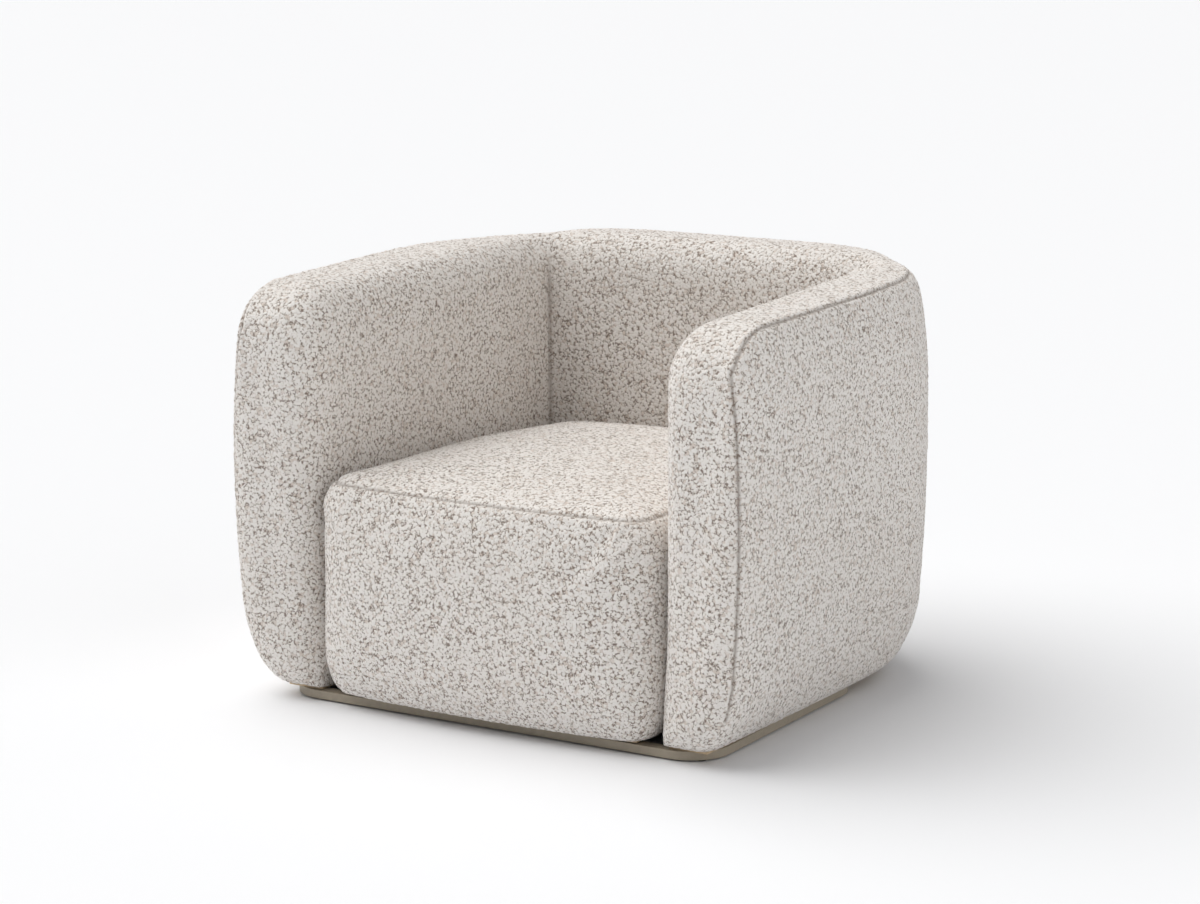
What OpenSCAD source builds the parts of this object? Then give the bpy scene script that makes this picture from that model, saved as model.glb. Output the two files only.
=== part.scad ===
// Upholstered armchair with a wrap-round back, a tight seat block and a low recessed plinth.
// X runs across the chair, Y from front (-) to back (+), Z up; the origin is on the floor,
// in the middle of the footprint.

/* [Overall] */
// Overall width across the arms
overall_w = 950; // [860:1:1150]
// Overall depth from the seat's nose to the back
overall_d = 900; // [820:1:1090]
// Height of the back
back_h = 685; // [600:1:830]
// Height of the arms at their fronts
arm_h = 660; // [580:1:800]

/* [Arms and back] */
// Thickness of an arm at its front, from the widest plane of the chair
arm_t_front = 161; // [145:1:195]
// Thickness of an arm where it meets the back
arm_t_rear = 173; // [150:1:210]
// Thickness of the back
back_t = 165; // [150:1:200]
// How much narrower the outer wall is at the arm fronts, each side
side_taper = 12; // [0:1:20]
// Outer plan radius of the back corners
corner_r = 340; // [230:1:350]
// Inner plan radius where arm and back meet
inner_r = 24; // [16:1:40]
// How far the outer wall swells between its top and bottom edges
wall_bow = 10; // [0:1:14]
// Height of the rounding along the outer bottom edge
bottom_r = 90; // [60:1:110]
// Width of the rounding along the outer bottom edge
bottom_run = 72; // [50:1:84]
// Radius of the outer top edge, where the seam lies
top_outer_r = 30; // [20:1:40]
// Radius of the inner top edge
top_inner_r = 62; // [45:1:75]
// Radius of the arm's front top corner, seen from the side
front_top_r = 100; // [70:1:120]
// Radius of the arm's front bottom corner, seen from the side
front_bottom_r = 55; // [40:1:80]
// Plan radius of the arm front's inner edge
front_inner_r = 50; // [30:1:60]
// Plan radius of the arm front's outer edge
front_outer_r = 22; // [14:1:30]

/* [Seat block] */
// Height of the seat's top edge seam plane
seat_rim_h = 378; // [320:1:450]
// Rise of the seat's crown above its rim
seat_crown = 24; // [0:1:40]
// How far the seat's nose stands in front of the arms
seat_nose = 20; // [0:1:40]
// How far the seat front swells between its corners
seat_bow = 12; // [0:1:20]
// Plan radius of the seat's front corners
seat_corner_r = 70; // [50:1:100]
// Radius of the seat's top edge
seat_edge_r = 60; // [45:1:80]
// Height of the rounding along the seat's bottom edge
seat_bottom_r = 85; // [60:1:110]
// Width of the rounding along the seat's bottom edge
seat_bottom_run = 38; // [30:1:38]
// Gap between the seat block and the arms and back
seat_gap = 2; // [1:0.5:5]

/* [Padding] */
// Thickness of the cover fabric
cover_t = 2.5; // [1.5:0.5:4]
// Clearance between neighbouring soft layers
fit = 1; // [0.8:0.1:1.5]
// Thickness of the foam on the outer walls
foam_out_t = 17; // [12:1:24]
// Thickness of the foam on the inner arm walls
foam_in_t = 35; // [25:1:40]
// Thickness of the foam on the inside of the back
foam_back_t = 60; // [45:1:70]
// Thickness of the foam over the top rails
foam_top_t = 45; // [35:1:60]
// Thickness of the foam on the seat front
foam_nose_t = 45; // [38:1:60]
// Thickness of the fibre topper on the seat
topper_t = 20; // [12:1:30]
// Thickness of the padding on the seat box's sides
side_pad_t = 42; // [38:1:50]

/* [Timber frame] */
// Thickness of the plywood ribs, base boards and seat box
ply_t = 18; // [15:1:24]
// Thickness of the inner arm panels
panel_t = 12; // [9:1:15]
// Thickness of the bent fibreboard behind the outer foam
board_t = 3; // [2.5:0.5:5]
// Height of the top rails
rail_h = 30; // [24:1:40]
// Side of the square back posts
post_w = 40; // [30:1:45]
// Height of the seat box that carries the springs
deck_h = 215; // [190:1:240]

/* [Suspension] */
// Number of sinuous springs
spring_count = 6; // [4:1:8]
// Wire diameter of the springs
spring_wire = 3.8; // [3:0.2:4.5]
// Width of a spring across its loops
spring_w = 46; // [38:1:50]
// Length of one full wave of a spring
spring_pitch = 24; // [20:1:30]
// Number of webbing straps across the back
strap_count = 4; // [3:1:6]
// Width of a webbing strap
strap_w = 60; // [40:1:70]

/* [Base] */
// Height of the plinth rails
plinth_h = 13; // [12:1:40]
// Thickness of the plinth rails
plinth_t = 22; // [18:1:30]
// Distance from the seat's nose to the plinth's front
plinth_in_front = 58; // [40:1:90]
// Distance from the chair's side to the plinth's side
plinth_in_side = 86; // [84:1:100]
// Depth of the plinth from its front to its rear rail
plinth_d = 512; // [440:1:620]
// Outer plan radius of the plinth's corners
plinth_r = 66; // [40:1:90]
// Length of the rear foot bar
foot_bar_w = 460; // [380:1:520]
// Height of the glides
glide_h = 3; // [2:0.5:8]
// Diameter of the glides
glide_d = 18; // [14:1:20]

/* [Hidden] */

cloth = [0.80, 0.77, 0.73];
foam_yellow = [0.93, 0.88, 0.70];
wadding = [0.95, 0.95, 0.93];
beech = [0.80, 0.66, 0.47];
birch_ply = [0.86, 0.74, 0.55];
fibreboard = [0.55, 0.42, 0.30];
steel = [0.62, 0.63, 0.65];
taupe = [0.60, 0.54, 0.45];

half_w = overall_w / 2;
y_back = overall_d / 2;
y_nose = -overall_d / 2;
y_arm = y_nose + seat_nose;
y_in = y_back - back_t;
base_z = glide_h + plinth_h;
cap_x = half_w - corner_r;      // centre of the outer corner arc
cap_y = y_back - corner_r;
inner_cy = y_in - inner_r;      // centre of the inner corner arc
inner_cx = half_w - arm_t_rear - inner_r;
corner_steps = 8;               // even, so that one station lies on the diagonal
round_steps = 6;                // steps round the arm's front corners; the front foam takes half
soft_d = cover_t + fit;         // depth of the foam's surface under the skin
frame_top = arm_h - soft_d - foam_top_t;
board_d = soft_d + foam_out_t + fit;
pad_d = soft_d + fit;             // depth of the flat inner foam's face
frame_in = pad_d + foam_in_t + fit;
ply_top = base_z + ply_t;
knee_z = base_z + bottom_r + 10;
rail_d = wall_bow + bottom_run + fit / 2;
front_y = y_arm + soft_d + (front_top_r - soft_d) * (1 - cos(45)) + fit;
web_y = y_in + pad_d + foam_back_t + fit;
strap_t = 2;
dust_t = 1;
tiny = 0.01;

// ---------- plan of the shell ----------

// Outer half-width at depth y: tapered along the arm, then round the corner arc
function side_x(y) = y > cap_y ? cap_x + sqrt(corner_r * corner_r - pow(y - cap_y, 2))
  : half_w - side_taper * pow((cap_y - y) / (cap_y - y_arm), 2);

// Inner half-width at depth y
function in_x(y) = half_w - arm_t_front
  - (arm_t_rear - arm_t_front) * min(1, max(0, (y - y_arm) / (inner_cy - y_arm)));

function unit(v) = v / norm(v);

// Direction through the wall, from inside to outside, at an outer point p
function across(p) = p.y <= inner_cy ? [1, 0] : p.x <= inner_cx ? [0, 1]
  : unit(p - [inner_cx, inner_cy]);

// Point on the inner wall that faces the outer point p
function facing(p) = p.y <= inner_cy ? [in_x(p.y), p.y] : p.x <= inner_cx ? [p.x, y_in]
  : [inner_cx, inner_cy] + inner_r * across(p);

function wall_t(p) = norm(p - facing(p));

// Point at depth d under the outer wall, and at depth d under the inner wall
function from_out(p, d) = p - across(p) * d;
function from_in(p, d) = facing(p) + across(p) * d;

// Outer points along an arm from y0 to the corner arc, in n equal steps
function arm_line(y0, n) = [for (i = [0:n - 1]) let (y = y0 + (cap_y - y0) * i / n) [side_x(y), y]];

// Outer points of the corner arc between two angles
function corner_arc(a0, a1) = [for (a = [a0:90 / corner_steps:a1 + tiny])
  [cap_x + corner_r * cos(a), cap_y + corner_r * sin(a)]];

// Outer points of the right half of the back, from the diagonal to the mid-plane
half_back = concat(corner_arc(45, 90), [[cap_x / 2, y_back], [0, y_back]]);
function mirrored(pts) = [for (i = [len(pts) - 1:-1:0]) [-pts[i].x, pts[i].y]];
function whole(half) = concat(half, mirrored([for (i = [0:len(half) - 2]) half[i]]));

// The outer wall's point and inward direction on the left half follow by symmetry
function sgn(p) = p.x < 0 ? -1 : 1;
function abs_p(p) = [abs(p.x), p.y];
function out_at(p, d) = let (q = from_out(abs_p(p), d)) [sgn(p) * q.x, q.y];
function in_at(p, d) = let (q = from_in(abs_p(p), d)) [sgn(p) * q.x, q.y];

// ---------- section of the shell ----------

// Height of the shell's top at depth y
function top_z(y) = arm_h + (back_h - arm_h) * (y - y_arm) / (y_back - y_arm);

// Depth of a rounded edge of radius r, at distance e behind the front, for a layer at depth d
function edge(r, e, d) = let (q = max(r - d, 1), s = e - d)
  s >= q ? d : d + q - sqrt(max(0, q * q - pow(q - s, 2)));

// An inner corner c as one point, or cut off as two where it lies outside radius r about the arc's centre
function cut_corner(c, r) = let (v = c - [cap_x, cap_y]) norm(v) <= r ? [c]
  : [[c.x, cap_y + sqrt(r * r - v.x * v.x)], [cap_x + sqrt(r * r - v.y * v.y), c.y]];
plate_min = 8;                  // least width of a corner plate
plate_r = corner_r - board_d - board_t - plate_min;

// A station is [outer point, distance behind the arm's front]
function st(p) = [p, p.y - y_arm];

function z_low(s, d) = base_z + edge(front_bottom_r, s[1], d);
function z_high(s, d) = top_z(s[0].y) - edge(front_top_r, s[1], d);
function out_d(s, d) = edge(front_outer_r, s[1], d);
function in_d(s, d) = edge(front_inner_r, s[1], d);

arc_steps = 5;
wall_steps = 3;
strip_n = 2 * arc_steps + wall_steps + 1;   // points in an outer strip; inner strips have as many
inner_steps = strip_n - arc_steps - 6;

function bow_at(f) = wall_bow * (1 - 4 * f * (1 - f));

// Outer wall from the underside up to the top seam, as [depth from the outer line, height]
function outer_strip(s, d) = let (
    o = out_d(s, d), w = wall_t(abs_p(s[0])), i = in_d(s, d),
    run = min(bottom_run - d, 0.75 * (w - o - i)), rise = bottom_r - d, r = max(top_outer_r - d, 2),
    z0 = z_low(s, d), z1 = z_high(s, d), za = z0 + rise, zb = z1 - r)
  concat(
    [for (k = [0:arc_steps]) let (t = 90 * k / arc_steps)
      [o + wall_bow + run * (1 - sin(t)), z0 + rise * (1 - cos(t))]],
    [for (k = [1:wall_steps]) let (f = k / (wall_steps + 1)) [o + bow_at(f), za + (zb - za) * f]],
    [for (k = [0:arc_steps - 1]) let (t = 45 * k / (arc_steps - 1))
      [o + wall_bow + r * (1 - cos(t)), zb + r * sin(t)]]);

// Radius of the inner top edge, as far as the wall has room for it
function inner_q(s, d) = min(top_inner_r - d,
  wall_t(abs_p(s[0])) - out_d(s, d) - in_d(s, d) - wall_bow - max(top_outer_r - d, 2) - 2);

// Over the top from the seam and down the inner wall to the underside
function inner_strip(s, d) = let (
    o = out_d(s, d), i = in_d(s, d), w = wall_t(abs_p(s[0])),
    z0 = z_low(s, d), z1 = z_high(s, d), r = max(top_outer_r - d, 2),
    q = inner_q(s, d), b = 20)
  concat(
    [for (t = [45, 67.5, 90]) [o + wall_bow + r * (1 - cos(t)), z1 - r + r * sin(t)]],
    [for (k = [0:arc_steps]) let (t = 90 - 90 * k / arc_steps)
      [w - i - q * (1 - cos(t)), z1 - q * (1 - sin(t))]],
    [for (k = [1:inner_steps]) let (f = k / (inner_steps + 1)) [w - i, (z1 - q) * (1 - f) + (z0 + b) * f]],
    [[w - i, z0 + b], [w - i, z0]]);

// Places a strip's points in space at station s
function placed(s, strip) = [for (q = strip) let (p = out_at(s[0], q[0])) [p.x, p.y, q[1]]];

// Places them on the vertical plane of the arm's front, at depth d behind it
function on_front(s, strip, d) = [for (q = strip) [sgn(s[0]) * (abs(s[0].x) - q[0]), y_arm + d, q[1]]];

function reversed(v) = [for (i = [len(v) - 1:-1:0]) v[i]];

// ---------- solids ----------

// Two triangles for each cell between rows of n points; closed rows join end to start
function cells(m, n, closed) = [for (j = [0:m - 2], i = [0:(closed ? n - 1 : n - 2)])
  let (a = j * n + i, b = j * n + (i + 1) % n) each [[a, b, b + n], [a, b + n, a + n]]];

// An end cap for a ring of n points, as triangles that join the two halves of the ring
function cap_cells(n) = [for (i = [0:floor((n - 1) / 2) - 1]) let (b = i + 1, c = n - 2 - i, d = n - 1 - i)
  each (b == c ? [[i, b, d]] : [[i, b, c], [i, c, d]])];
function moved(faces, k) = [for (f = faces) [for (v = f) v + k]];
function flipped(faces) = [for (f = faces) reversed(f)];

// A closed solid through rings of points, capped at both ends
module loft(rings) {
  n = len(rings[0]);
  m = len(rings);
  caps = concat(flipped(cap_cells(n)), moved(cap_cells(n), (m - 1) * n));
  polyhedron([for (r = rings) each r], concat(cells(m, n, true), caps));
}

// The faces of a sheet's underside and edges, for a grid of m rows of n points
function under_cells(m, n, closed) = moved(flipped(cells(m, n, closed)), m * n);
function edge_cells(line, k) = [for (i = [0:len(line) - 2]) let (a = line[i], b = line[i + 1])
  each [[a, a + k, b + k], [a, b + k, b]]];

// A sheet with thickness, between two open grids of rows
module sheet(face, back) {
  n = len(face[0]);
  m = len(face);
  rim = concat([for (i = [0:n - 1]) i], [for (j = [1:m - 1]) j * n + n - 1],
    [for (i = [n - 2:-1:0]) (m - 1) * n + i], [for (j = [m - 2:-1:0]) j * n]);
  polyhedron(concat([for (r = face) each r], [for (r = back) each r]),
    concat(cells(m, n, false), under_cells(m, n, false), edge_cells(rim, m * n)));
}

// A domed sheet: closed rings that shrink to a flat middle, with thickness
module dome(face, back) {
  n = len(face[0]);
  m = len(face);
  k = n * m;
  caps = concat(moved(cap_cells(n), (m - 1) * n), moved(flipped(cap_cells(n)), k + (m - 1) * n));
  polyhedron(concat([for (r = face) each r], [for (r = back) each r]),
    concat(cells(m, n, true), under_cells(m, n, true), edge_cells([for (i = [0:n]) i % n], k), caps));
}

// A flat piece between two lines of plan points
module strip_plate(a, b, z0, z1) {
  translate([0, 0, z0]) linear_extrude(z1 - z0) polygon(concat(a, reversed(b)));
}

module both_sides() {
  children();
  mirror([1, 0, 0]) children();
}

// ---------- plan lines of the right arm ----------

arm_steps = 4;
arm_pts = concat(arm_line(front_y, arm_steps), [[half_w, cap_y]]);
inner_line_end = web_y - fit;

function arm_stations(y0) = [for (p = concat(arm_line(y0, arm_steps), corner_arc(0, 45))) st(p)];
back_stations = [for (p = whole(half_back)) st(p)];

// Stations of the rounded arm front for a layer at depth d
function front_stations(d, k0, k1) = [for (k = [k0:k1])
  let (e = d + (front_top_r - d) * (1 - cos(90 * k / round_steps)), y = y_arm + e) [[side_x(y), y], e]];
function skin_stations(d) = concat(front_stations(d, 0, round_steps - 1),
  arm_stations(y_arm + front_top_r));

// ---------- base ----------

plinth_x = half_w - plinth_in_side;
plinth_y0 = y_nose + plinth_in_front;
plinth_y1 = plinth_y0 + plinth_d;
side_y0 = plinth_y0 + plinth_r;
side_y1 = plinth_y1 - plinth_r;
foot_bar_t = 44;
foot_bar_y = y_back - rail_d - foot_bar_t / 2 - 12;
glide_in = plinth_t / 2;
screw_d = 5;
screw_head_d = 9;
screw_head_h = 3;
screw_len = plinth_h + 12;
nail_d = 2.4;
nail_len = plinth_h - 3;
glide_rim = 1;
corner_glide = plinth_r * (1 - sqrt(0.5)) + glide_in * sqrt(0.5);

module rounded_slab(x, y0, y1, r, h) {
  linear_extrude(h) hull() for (sx = [-1, 1], y = [y0 + r, y1 - r])
    translate([sx * (x - r), y]) circle(r, $fn = 96);
}

// One end of the plinth ring: y0 to y1 is the slice that is kept
module plinth_slice(y0, y1) {
  intersection() {
    translate([0, 0, glide_h]) difference() {
      rounded_slab(plinth_x, plinth_y0, plinth_y1, plinth_r, plinth_h);
      translate([0, 0, -1]) rounded_slab(plinth_x - plinth_t, plinth_y0 + plinth_t,
        plinth_y1 - plinth_t, plinth_r - plinth_t, plinth_h + 2);
    }
    translate([-half_w, y0, 0]) cube([overall_w, y1 - y0, base_z + 1]);
  }
}

glide_xy = concat(
  [for (sx = [-1, 1]) [sx * (plinth_x - corner_glide), plinth_y0 + corner_glide]],
  [for (sx = [-1, 1]) [sx * (plinth_x - corner_glide), plinth_y1 - corner_glide]],
  [for (sx = [-1, 1]) [sx * (foot_bar_w / 2 - 40), foot_bar_y]]);
screw_xy = concat(
  [for (x = [-0.6, 0, 0.6]) [x * (plinth_x - plinth_r), plinth_y0 + glide_in]],
  [for (sx = [-1, 1], f = [0.2, 0.8]) [sx * (plinth_x - glide_in), side_y0 + (side_y1 - side_y0) * f]],
  [for (sx = [-1, 1]) [sx * foot_bar_w / 4, foot_bar_y]]);

module at_points(pts) {
  for (p = pts) translate([p.x, p.y, 0]) children();
}

module screw_shape(gap = 0) {
  translate([0, 0, glide_h + 2 - gap]) cylinder(d1 = screw_head_d + 2 * gap, d2 = screw_d + 2 * gap,
    h = screw_head_h + gap, $fn = 32);
  translate([0, 0, glide_h + 2 + screw_head_h - tiny]) cylinder(d = screw_d + 2 * gap,
    h = screw_len - screw_head_h, $fn = 32);
}

module screw_holes() {
  at_points(screw_xy) {
    screw_shape(0.2);
    translate([0, 0, glide_h - 1]) cylinder(d = screw_head_d + 0.4, h = 3, $fn = 32);
  }
}

module nail_shape(gap = 0) {
  translate([0, 0, glide_rim]) cylinder(d = nail_d + 2 * gap, h = nail_len, $fn = 24);
}

module drilled() {
  difference() {
    children();
    screw_holes();
    at_points(glide_xy) nail_shape(0.1);
  }
}

module plinth_front() { color(taupe) drilled() plinth_slice(plinth_y0 - 1, side_y0); }
module plinth_rear() { color(taupe) drilled() plinth_slice(side_y1, plinth_y1 + 1); }
module plinth_side(sx) {
  x0 = sx > 0 ? plinth_x - plinth_t : -plinth_x;
  color(taupe) drilled() translate([x0, side_y0, glide_h]) cube([plinth_t, side_y1 - side_y0, plinth_h]);
}
module plinth_left() plinth_side(-1);
module plinth_right() plinth_side(1);
module rear_foot_bar() {
  color(taupe) drilled() translate([0, foot_bar_y, glide_h]) linear_extrude(plinth_h)
    hull() for (sx = [-1, 1]) translate([sx * (foot_bar_w - foot_bar_t) / 2, 0])
      circle(d = foot_bar_t, $fn = 64);
}
module plinth_screws() { color(steel) at_points(screw_xy) screw_shape(); }
module glides() {
  color([0.12, 0.12, 0.12]) at_points(glide_xy) difference() {
    union() {
      cylinder(d1 = glide_d - 2, d2 = glide_d, h = glide_rim, $fn = 48);
      translate([0, 0, glide_rim - tiny]) cylinder(d = glide_d, h = glide_h - glide_rim + tiny, $fn = 48);
    }
    nail_shape();
  }
}
module glide_nails() { color(steel) at_points(glide_xy) nail_shape(); }

// ---------- seat block ----------

// Half-width of the seat block at depth y, for a layer at depth d under its skin
function seat_x(y, d) = in_x(y) - seat_gap - d;

seat_y1 = y_in - seat_gap;
seat_side_steps = 3;
seat_arc_steps = 5;
seat_front_steps = 4;
seat_rear_r = inner_r + 4;

// Right half of the seat's plan at depth d, from the back corner to the middle of the front
function seat_half(d) = let (
    r = max(seat_corner_r - d, 12), b = max(seat_rear_r - d, 4),
    y0 = y_nose + seat_bow + d, y1 = seat_y1 - d, xf = seat_x(y0 + r, d), xb = seat_x(y1 - b, d))
  concat(
    [for (k = [0:2]) let (t = 90 - 45 * k) [xb - b + b * cos(t), y1 - b + b * sin(t)]],
    [for (k = [1:seat_side_steps]) let (y = (y1 - b) + (y0 + r - y1 + b) * k / (seat_side_steps + 1))
      [seat_x(y, d), y]],
    [for (k = [0:seat_arc_steps]) let (t = -90 * k / seat_arc_steps)
      [xf - r + r * cos(t), y0 + r + r * sin(t)]],
    [for (k = [1:seat_front_steps]) let (f = 1 - k / seat_front_steps)
      [f * (xf - r), y0 - seat_bow * (1 - f * f)]]);

function seat_ring(d, z) = let (h = seat_half(d))
  concat([for (p = h) [p.x, p.y, z]],
    [for (i = [len(h) - 2:-1:0]) [-h[i].x, h[i].y, z]]);

// The seat's wall from the underside to the seam, as [depth, height], for a layer at depth d
function seat_wall(d) = let (q = seat_bottom_r - d, r = seat_edge_r - d)
  concat(
    [for (k = [0:4]) let (t = 90 * k / 4) [d + (seat_bottom_run - d) * (1 - sin(t)),
      base_z + d + q * (1 - cos(t))]],
    [for (k = [0:2]) let (t = 50 * k / 2) [d + r * (1 - cos(t)), seat_rim_h - d - r + r * sin(t)]]);

// The seat's top from the seam to the middle of the crown
function seat_dome(d) = let (r = seat_edge_r - d, wide = seat_x(0, 0))
  concat(
    [for (k = [0:2]) let (t = 50 + 40 * k / 2) [d + r * (1 - cos(t)), seat_rim_h - d - r + r * sin(t)]],
    [for (k = [1:4]) let (f = k / 4, s = seat_edge_r + (wide - seat_edge_r - 40) * f)
      [s, seat_rim_h - d + seat_crown * sin(90 * f)]]);

// Open row of the seat wall, from the back left corner round the front to the back right one
function seat_row(d, z) = let (h = seat_half(d), m = len(h) - 1)
  concat([for (i = [0:m]) [-h[i].x, h[i].y, z]], [for (i = [m - 1:-1:0]) [h[i].x, h[i].y, z]]);

box_d = soft_d + side_pad_t + fit;
box_y0 = y_nose + seat_bow + soft_d + foam_nose_t + fit;
box_y1 = seat_y1 - soft_d - fit;
box_side_y0 = box_y0 + ply_t;
box_side_y1 = box_y1 - ply_t;
function box_x(y) = seat_x(y, box_d);
box_z = base_z + dust_t;
felt_t = 3;
tie_d = 2;
clip_t = 1;
felt_z = deck_h + clip_t + spring_wire + tie_d + fit / 4;
deck_top = felt_z + felt_t;

module seat_front_panel() {
  w = box_x(box_y0);
  color(birch_ply) difference() {
    translate([-w, box_y0, box_z]) cube([2 * w, ply_t, deck_h - box_z]);
    screw_holes();
  }
}
module seat_rear_panel() {
  w = box_x(box_y1);
  color(birch_ply) translate([-w, box_side_y1, box_z]) cube([2 * w, ply_t, deck_h - box_z]);
}
module seat_side_panel(sx) {
  a = [for (y = [box_side_y0, box_side_y1]) [sx * box_x(y), y]];
  b = [for (p = a) [p.x - sx * ply_t, p.y]];
  color(birch_ply) strip_plate(a, b, box_z, deck_h);
}
module seat_side_panel_left() seat_side_panel(-1);
module seat_side_panel_right() seat_side_panel(1);

block_w = 45;
block_h = 60;
block_gap = 0.2;
block_top = deck_h - 20;
module seat_corner_blocks() {
  color(beech) both_sides() for (y = [box_side_y0, box_side_y1], z = [block_top - block_h, ply_top]) {
    dir = y == box_side_y0 ? 1 : -1;
    x = min(box_x(y), box_x(y + dir * block_w)) - ply_t - block_gap;
    translate([0, 0, z]) linear_extrude(block_h)
      polygon([[x, y], [x - block_w, y], [x, y + dir * block_w]]);
  }
}

spring_z = deck_h + clip_t + spring_wire / 2;
spring_y0 = box_y0 + ply_t / 2 + 4;
spring_y1 = box_y1 - ply_t / 2 - 4;
wave_points = 8;

// Centre line of a sinuous spring, along Y
function wave(i) = let (a = 360 * i / wave_points)
  [spring_w / 2 * sin(a), spring_y0 + (spring_y1 - spring_y0) * i / (waves * wave_points)];
waves = round((spring_y1 - spring_y0) / spring_pitch);
function wave_side(i, s) = let (p = wave(i), q = wave(i + 0.5) - wave(i - 0.5), n = unit([q.y, -q.x]))
  p + n * s * spring_wire / 2;
spring_step = 2 * (box_x(0) - ply_t - spring_w) / (spring_count - 1);
function spring_x(k) = (k - (spring_count - 1) / 2) * spring_step;

module seat_springs() {
  n = waves * wave_points;
  color(steel) for (k = [0:spring_count - 1]) translate([spring_x(k), 0, spring_z - spring_wire / 2])
    linear_extrude(spring_wire) polygon(concat([for (i = [0:n]) wave_side(i, 1)],
      [for (i = [n:-1:0]) wave_side(i, -1)]));
}
clip_w = 24;
clip_l = 10;
clip_gap = 0.1;
module spring_clips() {
  color(steel) for (k = [0:spring_count - 1], y = [spring_y0 - 4, spring_y1 + 4])
    translate([spring_x(k) - clip_w / 2, y - clip_l / 2, deck_h]) cube([clip_w, clip_l, clip_t - clip_gap]);
}
module spring_tie_wires() {
  x = box_x(0) - ply_t / 2;
  color(steel) for (f = [1 / 3, 2 / 3])
    translate([-x, box_y0 + (box_y1 - box_y0) * f, spring_z + spring_wire / 2 + tie_d / 2])
      rotate([0, 90, 0]) cylinder(d = tie_d, h = 2 * x, $fn = 16);
}
module deck_felt() {
  a = [for (y = [box_y0, box_y1]) [-box_x(y), y]];
  color([0.35, 0.35, 0.36]) strip_plate(a, [for (p = a) [-p.x, p.y]], felt_z, deck_top);
}
core_d = soft_d + topper_t + fit;
module seat_foam_core() {
  wall = [for (q = seat_wall(soft_d)) if (q[1] > deck_top + fit) q];
  rows = concat([[soft_d, deck_top + fit]], wall, seat_dome(core_d));
  color(foam_yellow) loft([for (q = rows) seat_ring(q[0], q[1])]);
}

// Plan of the nose foam at depth d: the seat's rounded front, cut off along the box's front
function nose_row(d, z) = let (
    r = max(seat_corner_r - d, 12), y0 = y_nose + seat_bow + d, xf = seat_x(y0 + r, d),
    cut = box_y0 - fit, t0 = asin(min(1, (y0 + r - cut) / r)),
    h = concat(
      [for (k = [0:seat_arc_steps]) let (t = t0 + (90 - t0) * k / seat_arc_steps)
        [xf - r + r * cos(t), y0 + r - r * sin(t)]],
      [for (k = [1:seat_front_steps]) let (f = 1 - k / seat_front_steps)
        [f * (xf - r), y0 - seat_bow * (1 - f * f)]]))
  concat([for (i = [0:len(h) - 2]) [-h[i].x, h[i].y, z]], [for (p = reversed(h)) [p.x, p.y, z]]);
nose_top = felt_z;
module seat_foam_nose() {
  rows = concat([for (q = seat_wall(soft_d)) if (q[1] < nose_top - 20) q], [[soft_d, nose_top]]);
  color(foam_yellow) loft([for (q = rows) nose_row(q[0], q[1])]);
}

// Section of the side padding at depth y, round the seat's bottom edge and up the box's side
function side_pad_ring(y) = let (wall = [for (q = seat_wall(soft_d)) if (q[1] < deck_h - 20) q])
  concat([for (q = wall) [seat_x(y, q[0]), y, q[1]]],
    [[seat_x(y, soft_d), y, deck_h], [box_x(y) + fit, y, deck_h], [box_x(y) + fit, y, base_z + soft_d]]);
side_pad_y0 = y_nose + seat_bow + seat_corner_r;
side_pad_y1 = seat_y1 - seat_rear_r;
module right_side_pad() {
  loft([for (k = [0:3]) side_pad_ring(side_pad_y0 + (side_pad_y1 - side_pad_y0) * k / 3)]);
}
module seat_side_pad_left() { color(wadding) mirror([1, 0, 0]) right_side_pad(); }
module seat_side_pad_right() { color(wadding) right_side_pad(); }
module seat_topper() {
  color(wadding) dome([for (q = seat_dome(soft_d)) seat_ring(q[0], q[1])],
    [for (q = seat_dome(soft_d + topper_t)) seat_ring(q[0], q[1])]);
}
module seat_cover_top() {
  color(cloth) dome([for (q = seat_dome(0)) seat_ring(q[0], q[1])],
    [for (q = seat_dome(cover_t)) seat_ring(q[0], q[1])]);
}
module seat_cover_boxing() {
  color(cloth) sheet([for (q = seat_wall(0)) seat_row(q[0], q[1])],
    [for (q = seat_wall(cover_t)) seat_row(q[0], q[1])]);
}
module dust_cover() {
  a = [for (y = [box_y0 + 2, box_y1 - 2]) [-box_x(y), y]];
  color([0.1, 0.1, 0.1]) difference() {
    strip_plate(a, [for (p = a) [-p.x, p.y]], base_z, box_z);
    screw_holes();
  }
}

// ---------- arm frame ----------

function at_y(y) = [side_x(y), y];
corner_st = corner_arc(0, 90);
rail_end = corner_st[1].y;
base_y0 = y_arm + front_bottom_r * 0.85;
rib_y = [base_y0, (front_y + cap_y) / 2 - ply_t / 2, cap_y - ply_t / 2];

// Outer points along the arm from y0 to where the corner plates begin
function frame_line(y0) = concat(arm_line(y0, arm_steps), [corner_st[0], corner_st[1]]);

// Profile of a plywood rib at depth y: clear of the rounded bottom edge
module rib(y) {
  x0 = side_x(y);
  far = max(in_x(y), in_x(y + ply_t)) + frame_in + panel_t;
  translate([0, y + ply_t, 0]) rotate([90, 0, 0]) linear_extrude(ply_t)
    polygon([[x0 - rail_d, ply_top], [far, ply_top], [far, frame_top - rail_h],
      [x0 - board_d - board_t - 1, frame_top - rail_h], [x0 - board_d - board_t - 1, knee_z + 20]]);
}
arm_frame_pts = frame_line(front_y);
base_pts = frame_line(base_y0);
module right_base() {
  difference() {
    strip_plate([for (p = base_pts) from_out(p, rail_d)],
      [for (p = base_pts) from_in(p, pad_d)], base_z, ply_top);
    screw_holes();
  }
}
module right_ribs() { for (y = rib_y) rib(y); }
module right_panel() {
  strip_plate([for (p = arm_frame_pts) from_in(p, frame_in + panel_t)],
    [for (p = arm_frame_pts) from_in(p, frame_in)], ply_top, frame_top);
}
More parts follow.
